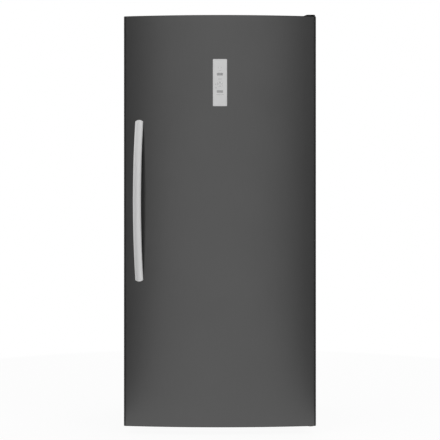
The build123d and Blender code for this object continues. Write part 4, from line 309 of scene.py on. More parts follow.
def make_finishes():
    """Makes every finish of the freezer from its colours."""
    dyes = bpy.context.scene.freezer_colours
    finish("Door steel", dyes.door, (0.28, 0.32), 0.95, 1.4, 0.02, (UP_GRAIN, 0.2, 0.06, 0.00003))
    # the dark edge finish, with its low specular level, is painted shade for the rolled edges' darker reflection
    finish("Door edge paint", dyes.door_edge_shade, (0.42, 0.52), 0.0, 2.0, 0.06, peel=(900.0, 0.00008),
           Specular_IOR_Level=0.12)
    finish("Cabinet paint", dyes.cabinet, (0.40, 0.50), 0.0, 1.6, 0.06, peel=(520.0, 0.00022), dust=-0.5)
    finish("Satin silver", dyes.handle, (0.42, 0.48), 0.4, 5.0, 0.03, (UP_GRAIN, 0.22, 0.05, 0.00002))
    finish("Panel silver", dyes.panel, (0.36, 0.42), 0.35, 8.0, 0.02, peel=(2600.0, 0.00002))
    finish("Button silver", dyes.button, (0.30, 0.36), 0.30, 30.0, 0.03)
    finish("Alarm grey", dyes.alarm, (0.32, 0.40), 0.2, 30.0, 0.04, peel=(2600.0, 0.00002))
    finish("Lamp lens", dyes.lamp, (0.12, 0.18), 0.0, 60.0, 0.03, coat=0.6)
    finish("Panel print", dyes.print_dark, (0.45, 0.5), 0.0, 60.0, 0.05)
    finish("Display glass", dyes.lens, (0.08, 0.12), 0.0, 60.0, 0.05, coat=1.0)
    finish("Display figures", dyes.lens_ink, (0.2, 0.25), 0.0, 60.0, 0.05)
    finish("Black plastic", dyes.black_plastic, (0.36, 0.46), 0.0, 9.0, 0.1, peel=(1500.0, 0.00006), dust=-0.6)
    finish("Cover black", dyes.cover, (0.30, 0.38), 0.0, 9.0, 0.1, peel=(1500.0, 0.00006), Specular_IOR_Level=0.06)
    finish("White liner", dyes.white_plastic, (0.18, 0.26), 0.0, 2.5, 0.015, peel=(90.0, 0.00012))
    finish("White moulding", dyes.white_plastic, (0.30, 0.38), 0.0, 6.0, 0.02, peel=(1400.0, 0.00004))
    finish("Bin plastic", dyes.bin_plastic, (0.12, 0.18), 0.0, 8.0, 0.02, coat=0.3)
    finish("Light cover", dyes.light_cover, (0.28, 0.34), 0.0, 14.0, 0.03, peel=(420.0, 0.00025))
    finish("Coated wire", dyes.wire, (0.22, 0.3), 0.0, 20.0, 0.03, peel=(700.0, 0.00004))
    finish("Gasket vinyl", dyes.gasket, (0.42, 0.52), 0.0, 6.0, 0.08, peel=(800.0, 0.00005))
    finish("Galvanised sheet", dyes.zinc, (0.34, 0.5), 0.85, 6.0, 0.08, spangle=(120.0, 0.16), dust=0.1)
    finish("Zinc plated steel", dyes.plated, (0.26, 0.36), 1.0, 18.0, 0.06, (SIDE_GRAIN, 0.25, 0.08, 0.00003))
    finish("Black enamel", dyes.black_enamel, (0.28, 0.38), 0.0, 9.0, 0.1, peel=(300.0, 0.0001), dust=-1.2)
    finish("Copper tube", dyes.copper, (0.24, 0.38), 1.0, 26.0, 0.22, dust=0.15)
    finish("Bare aluminium", dyes.aluminium, (0.3, 0.42), 1.0, 14.0, 0.07, (UP_GRAIN, 0.25, 0.06, 0.00003))
    finish("Black rubber", dyes.rubber, (0.62, 0.75), 0.0, 12.0, 0.1, peel=(900.0, 0.00008), dust=-1.0)
    finish("Foam", dyes.foam, (0.8, 0.9), 0.0, 8.0, 0.12, peel=(260.0, 0.0006))
    finish("Circuit board", dyes.board, (0.3, 0.4), 0.0, 40.0, 0.15)


def wear(finish_name, *node_names):
    """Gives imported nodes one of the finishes."""
    for name in node_names:
        slots = frame["nodes"][name].data.materials
        slots.clear()
        slots.append(bpy.data.materials[finish_name])


# ---- making pieces

SHARP = 32.0                              # edges that turn by more degrees stay sharp


def add_object(name, data):
    """Puts a mesh, curve, lamp or camera in the scene."""
    made = bpy.data.objects.new(name, data)
    bpy.context.scene.collection.objects.link(made)
    return made


def mesh_of(bm, name):
    """Turns a bmesh into a mesh, and lets it go."""
    mesh = bpy.data.meshes.new(name)
    bm.to_mesh(mesh)
    bm.free()
    return mesh


def place(bm, name, body, finishes, stands_for=(), sharp=SHARP):
    """Turns a bmesh into a finished piece that rides on a body."""
    bmesh.ops.remove_doubles(bm, verts=bm.verts, dist=NEAR)
    bmesh.ops.recalc_face_normals(bm, faces=bm.faces)
    mesh = mesh_of(bm, name)
    mesh.shade_smooth()
    mesh.set_sharp_from_angle(angle=math.radians(sharp))
    for label in [finishes] if isinstance(finishes, str) else finishes:
        mesh.materials.append(bpy.data.materials[label])
    piece = add_object(name, mesh)
    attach(piece, body)
    if stands_for:
        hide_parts(*stands_for)
    return piece


def evaluated(holder):
    """The mesh that an object's modifiers or curve come to."""
    bpy.context.view_layer.update()
    return bpy.data.meshes.new_from_object(holder.evaluated_get(bpy.context.evaluated_depsgraph_get()))


def settle(piece):
    """Makes a piece's modifiers part of its mesh, for good."""
    result = evaluated(piece)
    piece.modifiers.clear()
    old, piece.data = piece.data, result
    result.name = old.name
    bpy.data.meshes.remove(old)
    result.set_sharp_from_angle(angle=math.radians(SHARP))


def thicken(piece, wall, side):
    """Gives a sheet its wall: side is 1 for outwards and -1 for inwards."""
    shell = piece.modifiers.new("Wall", "SOLIDIFY")
    shell.thickness = wall
    shell.offset = side
    shell.use_even_offset = True
    settle(piece)


def round_edges(piece, width, angle):
    """Rounds a piece's sharp edges."""
    edge = piece.modifiers.new("Edges", "BEVEL")
    edge.width = width
    edge.segments = 2
    edge.limit_method = "ANGLE"
    edge.angle_limit = math.radians(angle)


def cut(piece, form, operation="DIFFERENCE"):
    """Cuts a piece's mesh with another closed form, for good."""
    bmesh.ops.recalc_face_normals(form, faces=form.faces)
    tool = add_object("Cutter", mesh_of(form, "Cutter"))
    job = piece.modifiers.new("Cut", "BOOLEAN")
    job.operation = operation
    job.solver = "EXACT"
    job.object = tool
    settle(piece)
    mesh = tool.data
    bpy.data.objects.remove(tool)
    bpy.data.meshes.remove(mesh)


def copied(name):
    """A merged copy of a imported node's mesh, in place, with its flat faces whole."""
    part = frame["nodes"][name]
    bm = bmesh.new()
    bm.from_mesh(part.data)
    bm.transform(part.matrix_world)
    bmesh.ops.remove_doubles(bm, verts=bm.verts, dist=NEAR)
    bmesh.ops.dissolve_limit(bm, angle_limit=math.radians(2.0), verts=bm.verts, edges=bm.edges)
    return bm


def evenly(low, high, count):
    """Even places from low to high."""
    return [low + number * (high - low) / (count - 1) for number in range(count)]


def everything(bm):
    """All that a bmesh holds."""
    return bm.verts[:] + bm.edges[:] + bm.faces[:]


def verts_in(geom):
    """The vertices in an operator's result."""
    return [item for item in geom if isinstance(item, bmesh.types.BMVert)]


def edges_of(verts):
    """The edges at these vertices."""
    return list({edge for vert in verts for edge in vert.link_edges})


def those(items, test, crease=None):
    """The edges or faces whose corners all pass a test, or of these the edges that turn by more than crease."""
    return [
        item for item in items if all(test(vert.co) for vert in item.verts)
        and (crease is None or item.calc_face_angle(0) > crease)
    ]


def running(edges, axis, share=0.99):
    """The edges that run along an axis."""
    return [
        edge for edge in edges
        if abs((edge.verts[0].co - edge.verts[1].co)[axis]) > share * edge.calc_length()
    ]


def drop(bm, faces):
    """Takes faces away, and what only they hold."""
    bmesh.ops.delete(bm, geom=faces, context="FACES")


def face_of(bm, geom):
    """The face between edges or corners, in a list."""
    return bmesh.ops.contextual_create(bm, geom=geom)["faces"]


def bevel(bm, edges, width, segments=3):
    """Rounds edges in a bmesh."""
    bmesh.ops.bevel(
        bm, geom=list(edges), offset=width, offset_type="OFFSET", affect="EDGES", segments=segments, profile=0.5,
        material=-1, clamp_overlap=True,
    )


def box(bm, low, high):
    """Adds a box between two corners, and returns its vertices."""
    low, high = Vector(low), Vector(high)
    made = bmesh.ops.create_cube(bm, size=1.0)["verts"]
    bmesh.ops.scale(bm, vec=high - low, verts=made)
    bmesh.ops.translate(bm, vec=(low + high) / 2, verts=made)
    return made


def soft_box(bm, low, high, radius=0.001, segments=2):
    """Adds a box with rounded edges."""
    bevel(bm, edges_of(box(bm, low, high)), radius, segments)


def side_boxes(bm, inner, outer, low, high, radius):
    """Adds a rounded box on each side of the middle, between two places in (y, z)."""
    for side in (-1, 1):
        x0, x1 = sorted((side * inner, side * outer))
        soft_box(bm, (x0, *low), (x1, *high), radius, 3)


def rod(bm, start, end, radius, segments=24, taper=1.0):
    """Adds a capped rod between two points, or a cone; taper is the end's share of the start's radius."""
    start, end = Vector(start), Vector(end)
    way = end - start
    turn = way.to_track_quat("Z", "Y").to_matrix().to_4x4()
    return bmesh.ops.create_cone(
        bm, cap_ends=True, segments=segments, radius1=radius, radius2=radius * taper, depth=way.length,
        matrix=Matrix.Translation((start + end) / 2) @ turn,
    )["verts"]


def trace(bm, points, closed=True):
    """Adds a line through points, and returns its vertices and edges."""
    verts = [bm.verts.new(point) for point in points]
    return verts, [bm.edges.new(pair) for pair in zip(verts, verts[1:] + verts[:1] if closed else verts[1:])]


def pull(bm, faces, way):
    """Pulls faces into a solid, and returns the vertices that moved."""
    moved = verts_in(bmesh.ops.extrude_face_region(bm, geom=faces, use_keep_orig=True)["geom"])
    bmesh.ops.translate(bm, vec=way, verts=moved)
    return moved


def plate(bm, outline, way):
    """Adds an outline's face and pulls it into a plate; returns the plate's vertices."""
    verts, edges = trace(bm, outline)
    return verts + pull(bm, face_of(bm, edges), way)


def lathe(bm, outline, centre, axis, segments=48):
    """Spins an outline of (radius, distance along the axis) round an axis."""
    axis, centre = Vector(axis), Vector(centre)
    side = axis.orthogonal().normalized()
    verts, edges = trace(bm, [centre + side * radius + axis * along for radius, along in outline], False)
    bmesh.ops.spin(
        bm, geom=verts + edges, cent=centre, axis=axis, angle=math.tau, steps=segments, use_merge=True,
        use_duplicate=False,
    )


def flat_loop(x0, x1, y0, y1, z):
    """The corners of a level rectangle."""
    return [(x0, y0, z), (x1, y0, z), (x1, y1, z), (x0, y1, z)]


def bent_wire(bm, points, radius, bend, cyclic=False, roundness=2):
    """Adds a round wire along straight runs with rounded bends."""
    route = bmesh.new()
    corners, _ = trace(route, points, cyclic)
    bmesh.ops.bevel(
        route, geom=corners if cyclic else corners[1:-1], offset=bend, offset_type="OFFSET", affect="VERTICES",
        segments=5, profile=0.5, material=-1, clamp_overlap=True,
    )
    route.verts.ensure_lookup_table()
    here = next((vert for vert in route.verts if len(vert.link_edges) == 1), route.verts[0])
    path, seen = [], set()
    while here is not None:
        path.append(here.co.copy())
        seen.add(here)
        near = [edge.other_vert(here) for edge in here.link_edges]
        here = next((vert for vert in near if vert not in seen), None)
    route.free()
    line = bpy.data.curves.new("Wire", "CURVE")
    line.dimensions = "3D"
    line.bevel_depth = radius
    line.bevel_resolution = roundness
    line.use_fill_caps = True
    spline = line.splines.new("POLY")
    spline.points.add(len(path) - 1)
    for point, spot in zip(spline.points, path):
        point.co = (*spot, 1.0)
    spline.use_cyclic_u = cyclic
    holder = add_object("Wire", line)
    mesh = evaluated(holder)
    bm.from_mesh(mesh)
    bpy.data.objects.remove(holder)
    bpy.data.curves.remove(line)
    bpy.data.meshes.remove(mesh)


def slices(bm, verts, axis, cuts):
    """Cuts a box into slices along an axis."""
    bmesh.ops.subdivide_edges(bm, edges=running(edges_of(verts), axis, 0.9), cuts=cuts, use_grid_fill=True)


class FreezerPiece:
    """What every operator of the freezer shares."""

    bl_options = {"REGISTER", "UNDO"}

    def execute(self, context):
        """Makes the piece. What can't be made raises an error and stops the script."""
        self.make(context.scene.freezer_sizes)
        return {"FINISHED"}


# ---- door


def bowed_slab(bm, half, front, back, low, high, corner):
    """Adds a slab with the door's bowed front and rounded upright corners; front is its corners' depth."""
    slices(bm, box(bm, (-half, front, low), (half, back, high)), 0, 64)
    for vert in bm.verts:
        if vert.co.y < front + NEAR:
            vert.co.y -= bow_at(vert.co.x)
    rolled = those(bm.edges, lambda spot: abs(spot.x) > half - NEAR and spot.y < front + 1e-3)
    bevel(bm, running(rolled, 2), corner, 6)


class FREEZER_OT_door_skin(FreezerPiece, bpy.types.Operator):
    """The door's bowed steel skin with its rolled edges, whose dark finish is painted shade"""

    bl_idname = "freezer.door_skin"
    bl_label = "Door skin"

    def make(self, sizes):
        bm = bmesh.new()
        bowed_slab(bm, DOOR_HALF, DOOR_CORNER, SKIN_HIGH.y, SKIN_LOW.z, SKIN_HIGH.z, sizes.door_corner)
        bm.normal_update()
        drop(bm, [face for face in bm.faces if abs(face.normal.z) > 0.9 or face.normal.y > 0.9])
        low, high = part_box("control_housing")
        for corner in (low, high):
            for way in ((1, 0, 0), (0, 0, 1)):
                bmesh.ops.bisect_plane(bm, geom=everything(bm), plane_co=corner, plane_no=way)
        opening = []
        for face in bm.faces:
            middle = face.calc_center_median()
            if middle.y < DOOR_CORNER and low.x < middle.x < high.x and low.z < middle.z < high.z:
                opening.append(face)
        drop(bm, opening)
        rear = running(those(bm.edges, lambda spot: spot.y > SKIN_HIGH.y - NEAR), 2)
        for vert in verts_in(bmesh.ops.extrude_edge_only(bm, edges=rear)["geom"]):
            vert.co.x -= math.copysign(sizes.door_flange, vert.co.x)
        # the rolled upright edges and the rear flanges take the dark edge finish, which is painted shade
        flat_half = DOOR_HALF - sizes.door_corner
        for face in bm.faces:
            face.material_index = int(abs(face.calc_center_median().x) > flat_half or face.normal.y > 0.9)
        skin = place(bm, "door_skin_sheet", "door", ["Door steel", "Door edge paint"], ["door_skin"])
        thicken(skin, 0.001, -1)


class FREEZER_OT_door_caps(FreezerPiece, bpy.types.Operator):
    """The moulded caps at the door's top and bottom, and its hinge bushes"""

    bl_idname = "freezer.door_caps"
    bl_label = "Door end caps"

    def make(self, sizes):
        x, y = frame["joints"][0]["pos_m"][:2]
        lip, bush_radius = 0.002, 0.0091
        for name in ("door_cap_top", "door_cap_bottom"):
            low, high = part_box(name)
            top = name.endswith("top")
            rim = high.z - lip if top else low.z + lip
            outside, inside = ((rim, high.z), (low.z, rim)) if top else ((low.z, rim), (rim, high.z))
            for kind, span, inset, shorter in (("moulding", outside, 0.0004, 0.0), ("plug", inside, 0.0014, 0.002)):
                bm = bmesh.new()
                bowed_slab(
                    bm, DOOR_HALF - inset, DOOR_CORNER + inset, DOOR_BACK - inset - shorter, *span,
                    sizes.door_corner - inset,
                )
                if not shorter:
                    bevel(bm, those(bm.edges, lambda spot: abs(spot.z - rim) < NEAR, 1.0), sizes.cap_edge, 2)
                cap = place(
                    bm, f"{name}_{kind}", "door", "Black plastic", () if shorter else (name,)
                )
                bush = bmesh.new()
                rod(bush, (x, y, low.z - 0.001), (x, y, high.z + 0.001), bush_radius, 32)
                cut(cap, bush)
        wear("White moulding", "hinge_bushes")


class FREEZER_OT_handle(FreezerPiece, bpy.types.Operator):
    """The bowed bar handle with its crowned section and its feet"""

    bl_idname = "freezer.handle"
    bl_label = "Handle"

    def make(self, sizes):
        low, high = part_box("handle_bar")
        foot_x, gap, chamfer = -0.349, 0.0002, 0.003
        lean = math.asin(foot_x / BOW_RADIUS)
        across = Vector((math.cos(lean), math.sin(lean), 0.0))
        out = Vector((math.sin(lean), -math.cos(lean), 0.0))
        face = Vector((foot_x, DOOR_CORNER - bow_at(foot_x), (low.z + high.z) / 2))
        half, half_length = sizes.handle_width / 2, sizes.handle_length / 2
        back = sizes.handle_reach - sizes.handle_thick
        rise = back - gap
        radius = (half_length ** 2 + rise ** 2) / (2 * rise)
        centre = face + out * (back - radius)
        swing = math.asin(half_length / radius)
        crown = sizes.handle_thick - sizes.handle_side
        crown_radius = half ** 2 / (2 * crown) + crown / 2
        crest = sizes.handle_reach - crown_radius
        shoulder = back + sizes.handle_side - 0.0012
        spread = math.asin((half - 0.0007) / crown_radius)
        crowned = [
            (crown_radius * math.sin(turn), crest + crown_radius * math.cos(turn))
            for turn in evenly(spread, -spread, 13)
        ]
        section = [(chamfer - half, back), (half - chamfer, back), (half, back + chamfer), (half, shoulder), *crowned,
                   (-half, shoulder), (-half, back + chamfer)]
        bm = bmesh.new()
        verts, edges = trace(bm, [face + across * x + out * y for x, y in section])
        face_of(bm, edges)
        bmesh.ops.rotate(bm, cent=centre, matrix=Matrix.Rotation(-swing, 3, across), verts=verts)
        bmesh.ops.spin(
            bm, geom=everything(bm), cent=centre, axis=across, angle=2 * swing, steps=72, use_duplicate=False
        )
        bar = place(bm, "handle_bar_grip", "door", "Satin silver", ["handle_bar", "handle_studs"])

        end_radius = sizes.handle_end
        corner = math.asin(min(1.0, (half + 0.001) / end_radius))
        outline = [
            face + across * end_radius * math.sin(way * turn) - out * 0.002
            + Vector((0, 0, way * (half_length - end_radius + end_radius * math.cos(turn))))
            for way in (1, -1) for turn in evenly(corner, -corner, 13)
        ]
        ends = bmesh.new()
        plate(ends, outline, out * (sizes.handle_reach + 0.02))
        cut(bar, ends, "INTERSECT")
        round_edges(bar, 0.0009, 38.0)

        feet = bmesh.new()
        foot_half = 0.011
        for way in (-1, 1):
            side = [(half_length - 0.009, gap), (half_length - 0.062, gap), (half_length - 0.066, 0.0145),
                    (half_length - 0.009, 0.003)]
            foot = [face + out * off + Vector((0, 0, way * along)) - across * foot_half for along, off in side]
            bevel(feet, edges_of(plate(feet, foot, across * 2 * foot_half)), 0.0012, 2)
        place(feet, "handle_feet", "door", "Black plastic")


# ---- control panel

INK = 0.00006                             # how far printed strokes stand out
CAP_DEPTH = 0.0028                        # depth of a button's cap

# strokes of the signs, each from one point to another, in millimetres about the sign's middle
SNOWFLAKE = [(0, -2.2, 0, 2.2), (-1.9, -1.1, 1.9, 1.1), (-1.9, 1.1, 1.9, -1.1)]
BELL = [(-2, -1.6, 2, -1.6), (-1.5, -1.6, -1.1, 1.2), (1.5, -1.6, 1.1, 1.2), (-1.1, 1.2, 1.1, 1.2), (0, -2.4, 0, -1.8)]
PADLOCK = [(-1.7, -2, 1.7, -2), (-1.7, -2, -1.7, 0.2), (1.7, -2, 1.7, 0.2), (-1.7, 0.2, 1.7, 0.2),
           (-1.1, 0.2, -1.1, 1.7), (1.1, 0.2, 1.1, 1.7), (-1.1, 1.7, 1.1, 1.7)]
THERMOMETER = [(0, -2.4, 0, 2.4), (0.9, -2.4, 0.9, 2.4), (0, 2.4, 0.9, 2.4), (-0.6, -2.4, 1.5, -2.4)]
CHEVRON = [(-2.9, -1.3, 0, 1.5), (2.9, -1.3, 0, 1.5), (-9.0, -6.2, -7.2, -6.2), (7.2, -6.2, 9.0, -6.2)]
FIGURE = [(-2.1, 3.6, 2.1, 3.6), (-2.1, 0, 2.1, 0), (-2.1, -3.6, 2.1, -3.6), (-2.5, 0.4, -2.5, 3.2),
          (2.5, 0.4, 2.5, 3.2), (-2.5, -3.2, -2.5, -0.4), (2.5, -3.2, 2.5, -0.4)]

SIGNS = (                                 # middle in x and z, strokes and their width
    (0.0, 1.592, [(-9, 0, -4, 0), (4, 0, 9, 0)], 0.0007),
    (0.0, 1.5795, [(-5, 0, 5, 0)], 0.0006),
    (-0.004, 1.5435, SNOWFLAKE, 0.0006),
    (0.004, 1.5435, THERMOMETER, 0.0005),
    (-0.019, PAD_MIDDLE, PADLOCK, 0.0005),
    (-0.017, 1.5045, [(-4, 0, 4, 0), (-4, 1.4, 4, 1.4)], 0.0005),
    (0.0, 1.4765, [(-16, 0, -4, 0), (4, 0, 16, 0)], 0.0006),
    (0.0, 1.4765, BELL, 0.0005),
)


def strokes(bm, x, z, lines, width, front=FACE_FRONT):
    """Adds a sign's thin printed strokes about a middle on the panel's face."""
    for x0, z0, x1, z1 in lines:
        start, end = (Vector((x + dx * 0.001, front, z + dz * 0.001)) for dx, dz in ((x0, z0), (x1, z1)))
        way = end - start
        side = Vector((-way.z, 0, way.x)).normalized() * width / 2
        plate(bm, [start - side, end - side, end + side, start + side], (0, -INK, 0))


class FREEZER_OT_control_panel(FreezerPiece, bpy.types.Operator):
    """The control panel: bezel, window, round two-way pad, alarm button and printed signs"""

    bl_idname = "freezer.control_panel"
    bl_label = "Control panel"

    def make(self, sizes):
        wear("Panel silver", "control_bezel")
        wear("Circuit board", "control_board")
        wear("White moulding", "control_housing")
        low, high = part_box("display_lenses")
        window_half = 0.0057
        bm = bmesh.new()
        soft_box(
            bm, (low.x, low.y, WINDOW_MIDDLE - window_half), (high.x, high.y, WINDOW_MIDDLE + window_half), 0.0003
        )
        place(bm, "display_window", "door", "Display glass", ["display_lenses"])
        bm = bmesh.new()
        depth = high.y - low.y
        outline = [(0, 0), (0.0012, 0), (0.0019, 0.0003), (0.0023, 0.0009), (0.0023, depth), (0, depth)]
        for middle in (PAD_MIDDLE, UPPER_LAMP):
            lathe(bm, outline, (0, low.y, middle), (0, 1, 0), 32)
        place(bm, "panel_lamps", "door", "Lamp lens", sharp=60.0)
        for name, way in (("button_up", 1), ("button_down", -1)):
            low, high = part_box(name)
            bm = bmesh.new()
            self.half_pad(bm, low, high, way)
            place(bm, name + "_cap", name, "Button silver", [name], 40.0)
            bm = bmesh.new()
            turned = [(x0, way * z0, x1, way * z1) for x0, z0, x1, z1 in CHEVRON]
            strokes(bm, 0.0, PAD_MIDDLE + way * 0.0083, turned, 0.0016, low.y)
            place(bm, name + "_sign", name, "Panel print")
        low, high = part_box("button_alarm")
        bm = bmesh.new()
        soft_box(bm, low, (high.x, low.y + CAP_DEPTH, high.z), 0.0006, 3)
        self.plunger(bm, low, high, (low.z + high.z) / 2)
        place(bm, "button_alarm_cap", "button_alarm", "Alarm grey", ["button_alarm"], 40.0)
        bm = bmesh.new()
        for sign in SIGNS:
            strokes(bm, *sign)
        place(bm, "panel_signs", "door", "Panel print")
        bm = bmesh.new()
        for x in (-0.006, 0.006):
            strokes(bm, x, WINDOW_MIDDLE, FIGURE, 0.0009)
        place(bm, "display_figures", "door", "Display figures")

    @staticmethod
    def plunger(bm, low, high, middle, half=0.002):
        """Adds the square plunger behind a button."""
        box(bm, (-half, low.y + 0.002, middle - half), (half, high.y, middle + half))

    @classmethod
    def half_pad(cls, bm, low, high, way):
        """Adds one half of the round pad, with softened edges and its plunger."""
        bridge = 0.00085                  # half the slot between the two halves
        arcs = []
        for radius, steps in ((0.0120, 28), (0.0045, 14)):
            start = math.asin(bridge / radius)
            old = set(bm.verts)
            first = bm.verts.new((radius * math.cos(start), low.y, PAD_MIDDLE + way * radius * math.sin(start)))
            bmesh.ops.spin(
                bm, geom=[first], cent=(0, low.y, PAD_MIDDLE), axis=(0, -way, 0), angle=math.pi - 2 * start,
                steps=steps, use_duplicate=False,
            )
            arcs.append(sorted((vert for vert in bm.verts if vert not in old), key=lambda vert: vert.co.x))
        for side in (0, -1):
            bm.edges.new((arcs[0][side], arcs[1][side]))
        pull(bm, face_of(bm, bm.edges[:]), (0, CAP_DEPTH, 0))
        bevel(bm, those(bm.edges, lambda spot: abs(spot.y - low.y) < NEAR), 0.0004, 2)
        cls.plunger(bm, low, high, PAD_MIDDLE + way * 0.0085)


# ---- hinges


class FREEZER_OT_hinges(FreezerPiece, bpy.types.Operator):
    """The hinges, their screws and the moulded cover over the upper hinge"""

    bl_idname = "freezer.hinges"
    bl_label = "Hinges"

    def make(self, sizes):
        wear("Zinc plated steel", "top_hinge", "bottom_hinge")
        bm = copied("top_hinge_cover")
        outer = [
            edge for edge in bm.edges if edge.is_convex and edge.calc_face_angle(0) > 0.3
            and max(vert.co.z for vert in edge.verts) > CAP_TOP + 0.002
        ]
        bevel(bm, outer, sizes.cover_edge, 4)
        place(bm, "top_hinge_cover_moulding", "cabinet", "Cover black", ["top_hinge_cover"])

        low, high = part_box("screws")
        bm = bmesh.new()
        for x, y in ((-0.032, 0.026), (-0.012, 0.026), (-0.022, 0.058)):
            for z, way in ((high.z, -1), (low.z, 1)):
                self.screw(bm, (SHELL_HIGH.x + x, CABINET_FRONT + y, z), (0, 0, way), 0.005, 0.004, 0.018)
        for x in (-0.391, 0.391):
            for z in (0.043, 0.244):
                self.screw(bm, (x, high.y, z), (0, -1, 0), 0.0045, 0.0018, 0.002)
        place(bm, "screw_set", "cabinet", "Zinc plated steel", ["screws"], 25.0)

    @staticmethod
    def screw(bm, head, way, radius, height, shank):
        """Adds a screw with a flanged hexagon head."""
        head, way = Vector(head), Vector(way)
        end = head + way * height
        rod(bm, head + way * 0.0003, end, radius * 0.78, 6, 0.9 / 0.78)
        rod(bm, end - way * min(0.0012, height * 0.5), end, radius)
        rod(bm, end, end + way * shank, radius * 0.5, 12)


# ---- cabinet


class FREEZER_OT_cabinet_shell(FreezerPiece, bpy.types.Operator):
    """The painted steel sides and top, the galvanised back and base, and the foam"""

    bl_idname = "freezer.cabinet_shell"
    bl_label = "Cabinet shell"

    def make(self, sizes):
        wear("Cabinet paint", "side_panel_left", "side_panel_right", "top_panel")
        wear("Galvanised sheet", "back_panel", "base_pan", "machine_rail", "compartment_cover")
        wear("Foam", "insulation", "door_insulation")
        wear("Black rubber", "cord_grommet")


class FREEZER_OT_liner(FreezerPiece, bpy.types.Operator):
    """The vacuum-formed liner with its rounded corners, its ledges and the runners of the basket"""

    bl_idname = "freezer.liner"
    bl_label = "Liner"

    def make(self, sizes):
        flange, overlap = 0.010, 0.001
        half = LINER_HIGH.x - flange
        floor, roof = LINER_LOW.z + flange, LINER_HIGH.z - flange
        front, back = CABINET_FRONT + 0.0002, LINER_HIGH.y - LINER_WALL
        step_front, step_top = 0.12199, 0.290        # over the machine compartment
        outline = [(front, floor), (step_front, floor), (step_front, step_top), (back, step_top), (back, roof),
                   (front, roof)]
        bm = bmesh.new()
        plate(bm, [(-half, *spot) for spot in outline], (2 * half, 0, 0))
        bmesh.ops.recalc_face_normals(bm, faces=bm.faces)
        drop(bm, those(bm.faces, lambda spot: abs(spot.y - front) < NEAR))
        bevel(bm, [edge for edge in bm.edges if not edge.is_boundary], sizes.liner_corner, 5)
        rim = [edge for edge in bm.edges if edge.is_boundary]
        middle = (floor + roof) / 2
        for vert in verts_in(bmesh.ops.extrude_edge_only(bm, edges=rim)["geom"]):
            vert.co.x *= (half + flange) / half
            vert.co.z = middle + (vert.co.z - middle) * ((roof - middle + flange) / (roof - middle))
        liner = place(bm, "liner_shell", "cabinet", "White liner", ["liner"], 40.0)
        thicken(liner, LINER_WALL * 0.9, 1)

        ledge_reach, ledge_length, runner_reach = 0.012, 0.38, 0.019
        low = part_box("shelf_1")[0]
        pitch = (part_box("shelf_2")[0].z - low.z) / 2
        bm = bmesh.new()
        for level in range(7):
            top = low.z - 0.0001 + level * pitch
            side_boxes(bm, half - ledge_reach, half + overlap, (low.y + 0.0003, top - 0.009),
                       (low.y + ledge_length, top), 0.0025)
        side_boxes(bm, half - runner_reach, half + overlap, (CABINET_FRONT + 0.058, 0.2455),
                   (step_front - 0.025, 0.2515), 0.0018)
        place(bm, "liner_ledges", "cabinet", "White liner")
        wear("White moulding", "duct_cover")


class FREEZER_OT_light(FreezerPiece, bpy.types.Operator):
    """The light's ribbed cover and the door switch"""

    bl_idname = "freezer.light"
    bl_label = "Light and switch"

    def make(self, sizes):
        low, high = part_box("light_lens")
        rib = 0.0009
        bm = bmesh.new()
        soft_box(bm, low, high, 0.005, 4)
        for x in evenly(low.x + 0.012, high.x - 0.012, 17):
            rod(bm, (x, low.y + 0.006, low.z + rib), (x, high.y - 0.006, low.z + rib), rib, 8)
        place(bm, "light_cover", "cabinet", "Light cover", ["light_lens"])
        wear("White moulding", "switch_housing")
        low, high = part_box("switch_plunger")
        radius, reach = (high.x - low.x) / 2, high.y - low.y
        bm = bmesh.new()
        outline = [(0, 0), (radius - 0.0015, 0), (radius - 0.0004, 0.0004), (radius, 0.0015), (radius, reach),
                   (0, reach)]
        lathe(bm, outline, ((low.x + high.x) / 2, low.y, (low.z + high.z) / 2), (0, 1, 0), 32)
        place(bm, "switch_pin", "plunger", "Black plastic", ["switch_plunger"])


class FREEZER_OT_shelves(FreezerPiece, bpy.types.Operator):
    """The coated wire shelves"""

    bl_idname = "freezer.shelves"
    bl_label = "Wire shelves"

    def make(self, sizes):
        thick, fine, bend, lift = sizes.shelf_frame, sizes.shelf_wire, 0.014, 0.0012
        for number in range(1, 5):
            low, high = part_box(f"shelf_{number}")
            level = low.z + thick
            x0, x1, y0, y1 = low.x + thick, high.x - thick, low.y + thick, high.y - thick
            bm = bmesh.new()
            bent_wire(bm, flat_loop(x0, x1, y0, y1, level), thick, bend, True, 3)
            for x in evenly(x0 + bend, x1 - bend, sizes.shelf_wires):
                rod(bm, (x, y0, level + lift), (x, y1, level + lift), fine, 10)
            for share in (0.02, 0.33, 0.67):
                y = y0 + share * (y1 - y0)
                rod(bm, (x0, y, level - lift), (x1, y, level - lift), fine + 0.0002, 10)
            place(bm, f"shelf_{number}_wires", "cabinet", "Coated wire", [f"shelf_{number}"], 50.0)


class FREEZER_OT_basket(FreezerPiece, bpy.types.Operator):
    """The sliding wire basket"""

    bl_idname = "freezer.basket"
    bl_label = "Wire basket"

    def make(self, sizes):
        low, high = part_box("basket")
        rim, fine = 0.0032, sizes.basket_wire
        level, floor = high.z - rim, low.z + fine
        x0, x1, y0, y1 = low.x + rim, high.x - rim, low.y + rim, high.y - rim
        wall = x1 - 0.018                 # the hoops stand inside the rim, which rides on the runners
        bm = bmesh.new()
        bent_wire(bm, flat_loop(x0, x1, y0, y1, level), rim, 0.016, True, 3)
        for side in (-1, 1):
            rod(bm, (side * wall, y0, level), (side * wall, y1, level), fine * 1.3, 12)
        deep = floor + 2 * fine
        for x in evenly(0.012 - wall, wall - 0.012, sizes.basket_across):
            bent_wire(bm, [(x, y0, level), (x, y0, deep), (x, y1, deep), (x, y1, level)], fine, 0.010)
        for y in evenly(y0 + 0.018, y1 - 0.018, sizes.basket_along):
            bent_wire(bm, [(-wall, y, level), (-wall, y, floor), (wall, y, floor), (wall, y, level)], fine, 0.012)
        outer = fine * 1.9
        for share in (0.34, 0.67):
            z = floor + share * (level - floor)
            bent_wire(bm, flat_loop(-wall - outer, wall + outer, y0 - outer, y1 + outer, z), fine, 0.008, True)
        place(bm, "basket_wires", "basket", "Coated wire", ["basket"], 50.0)


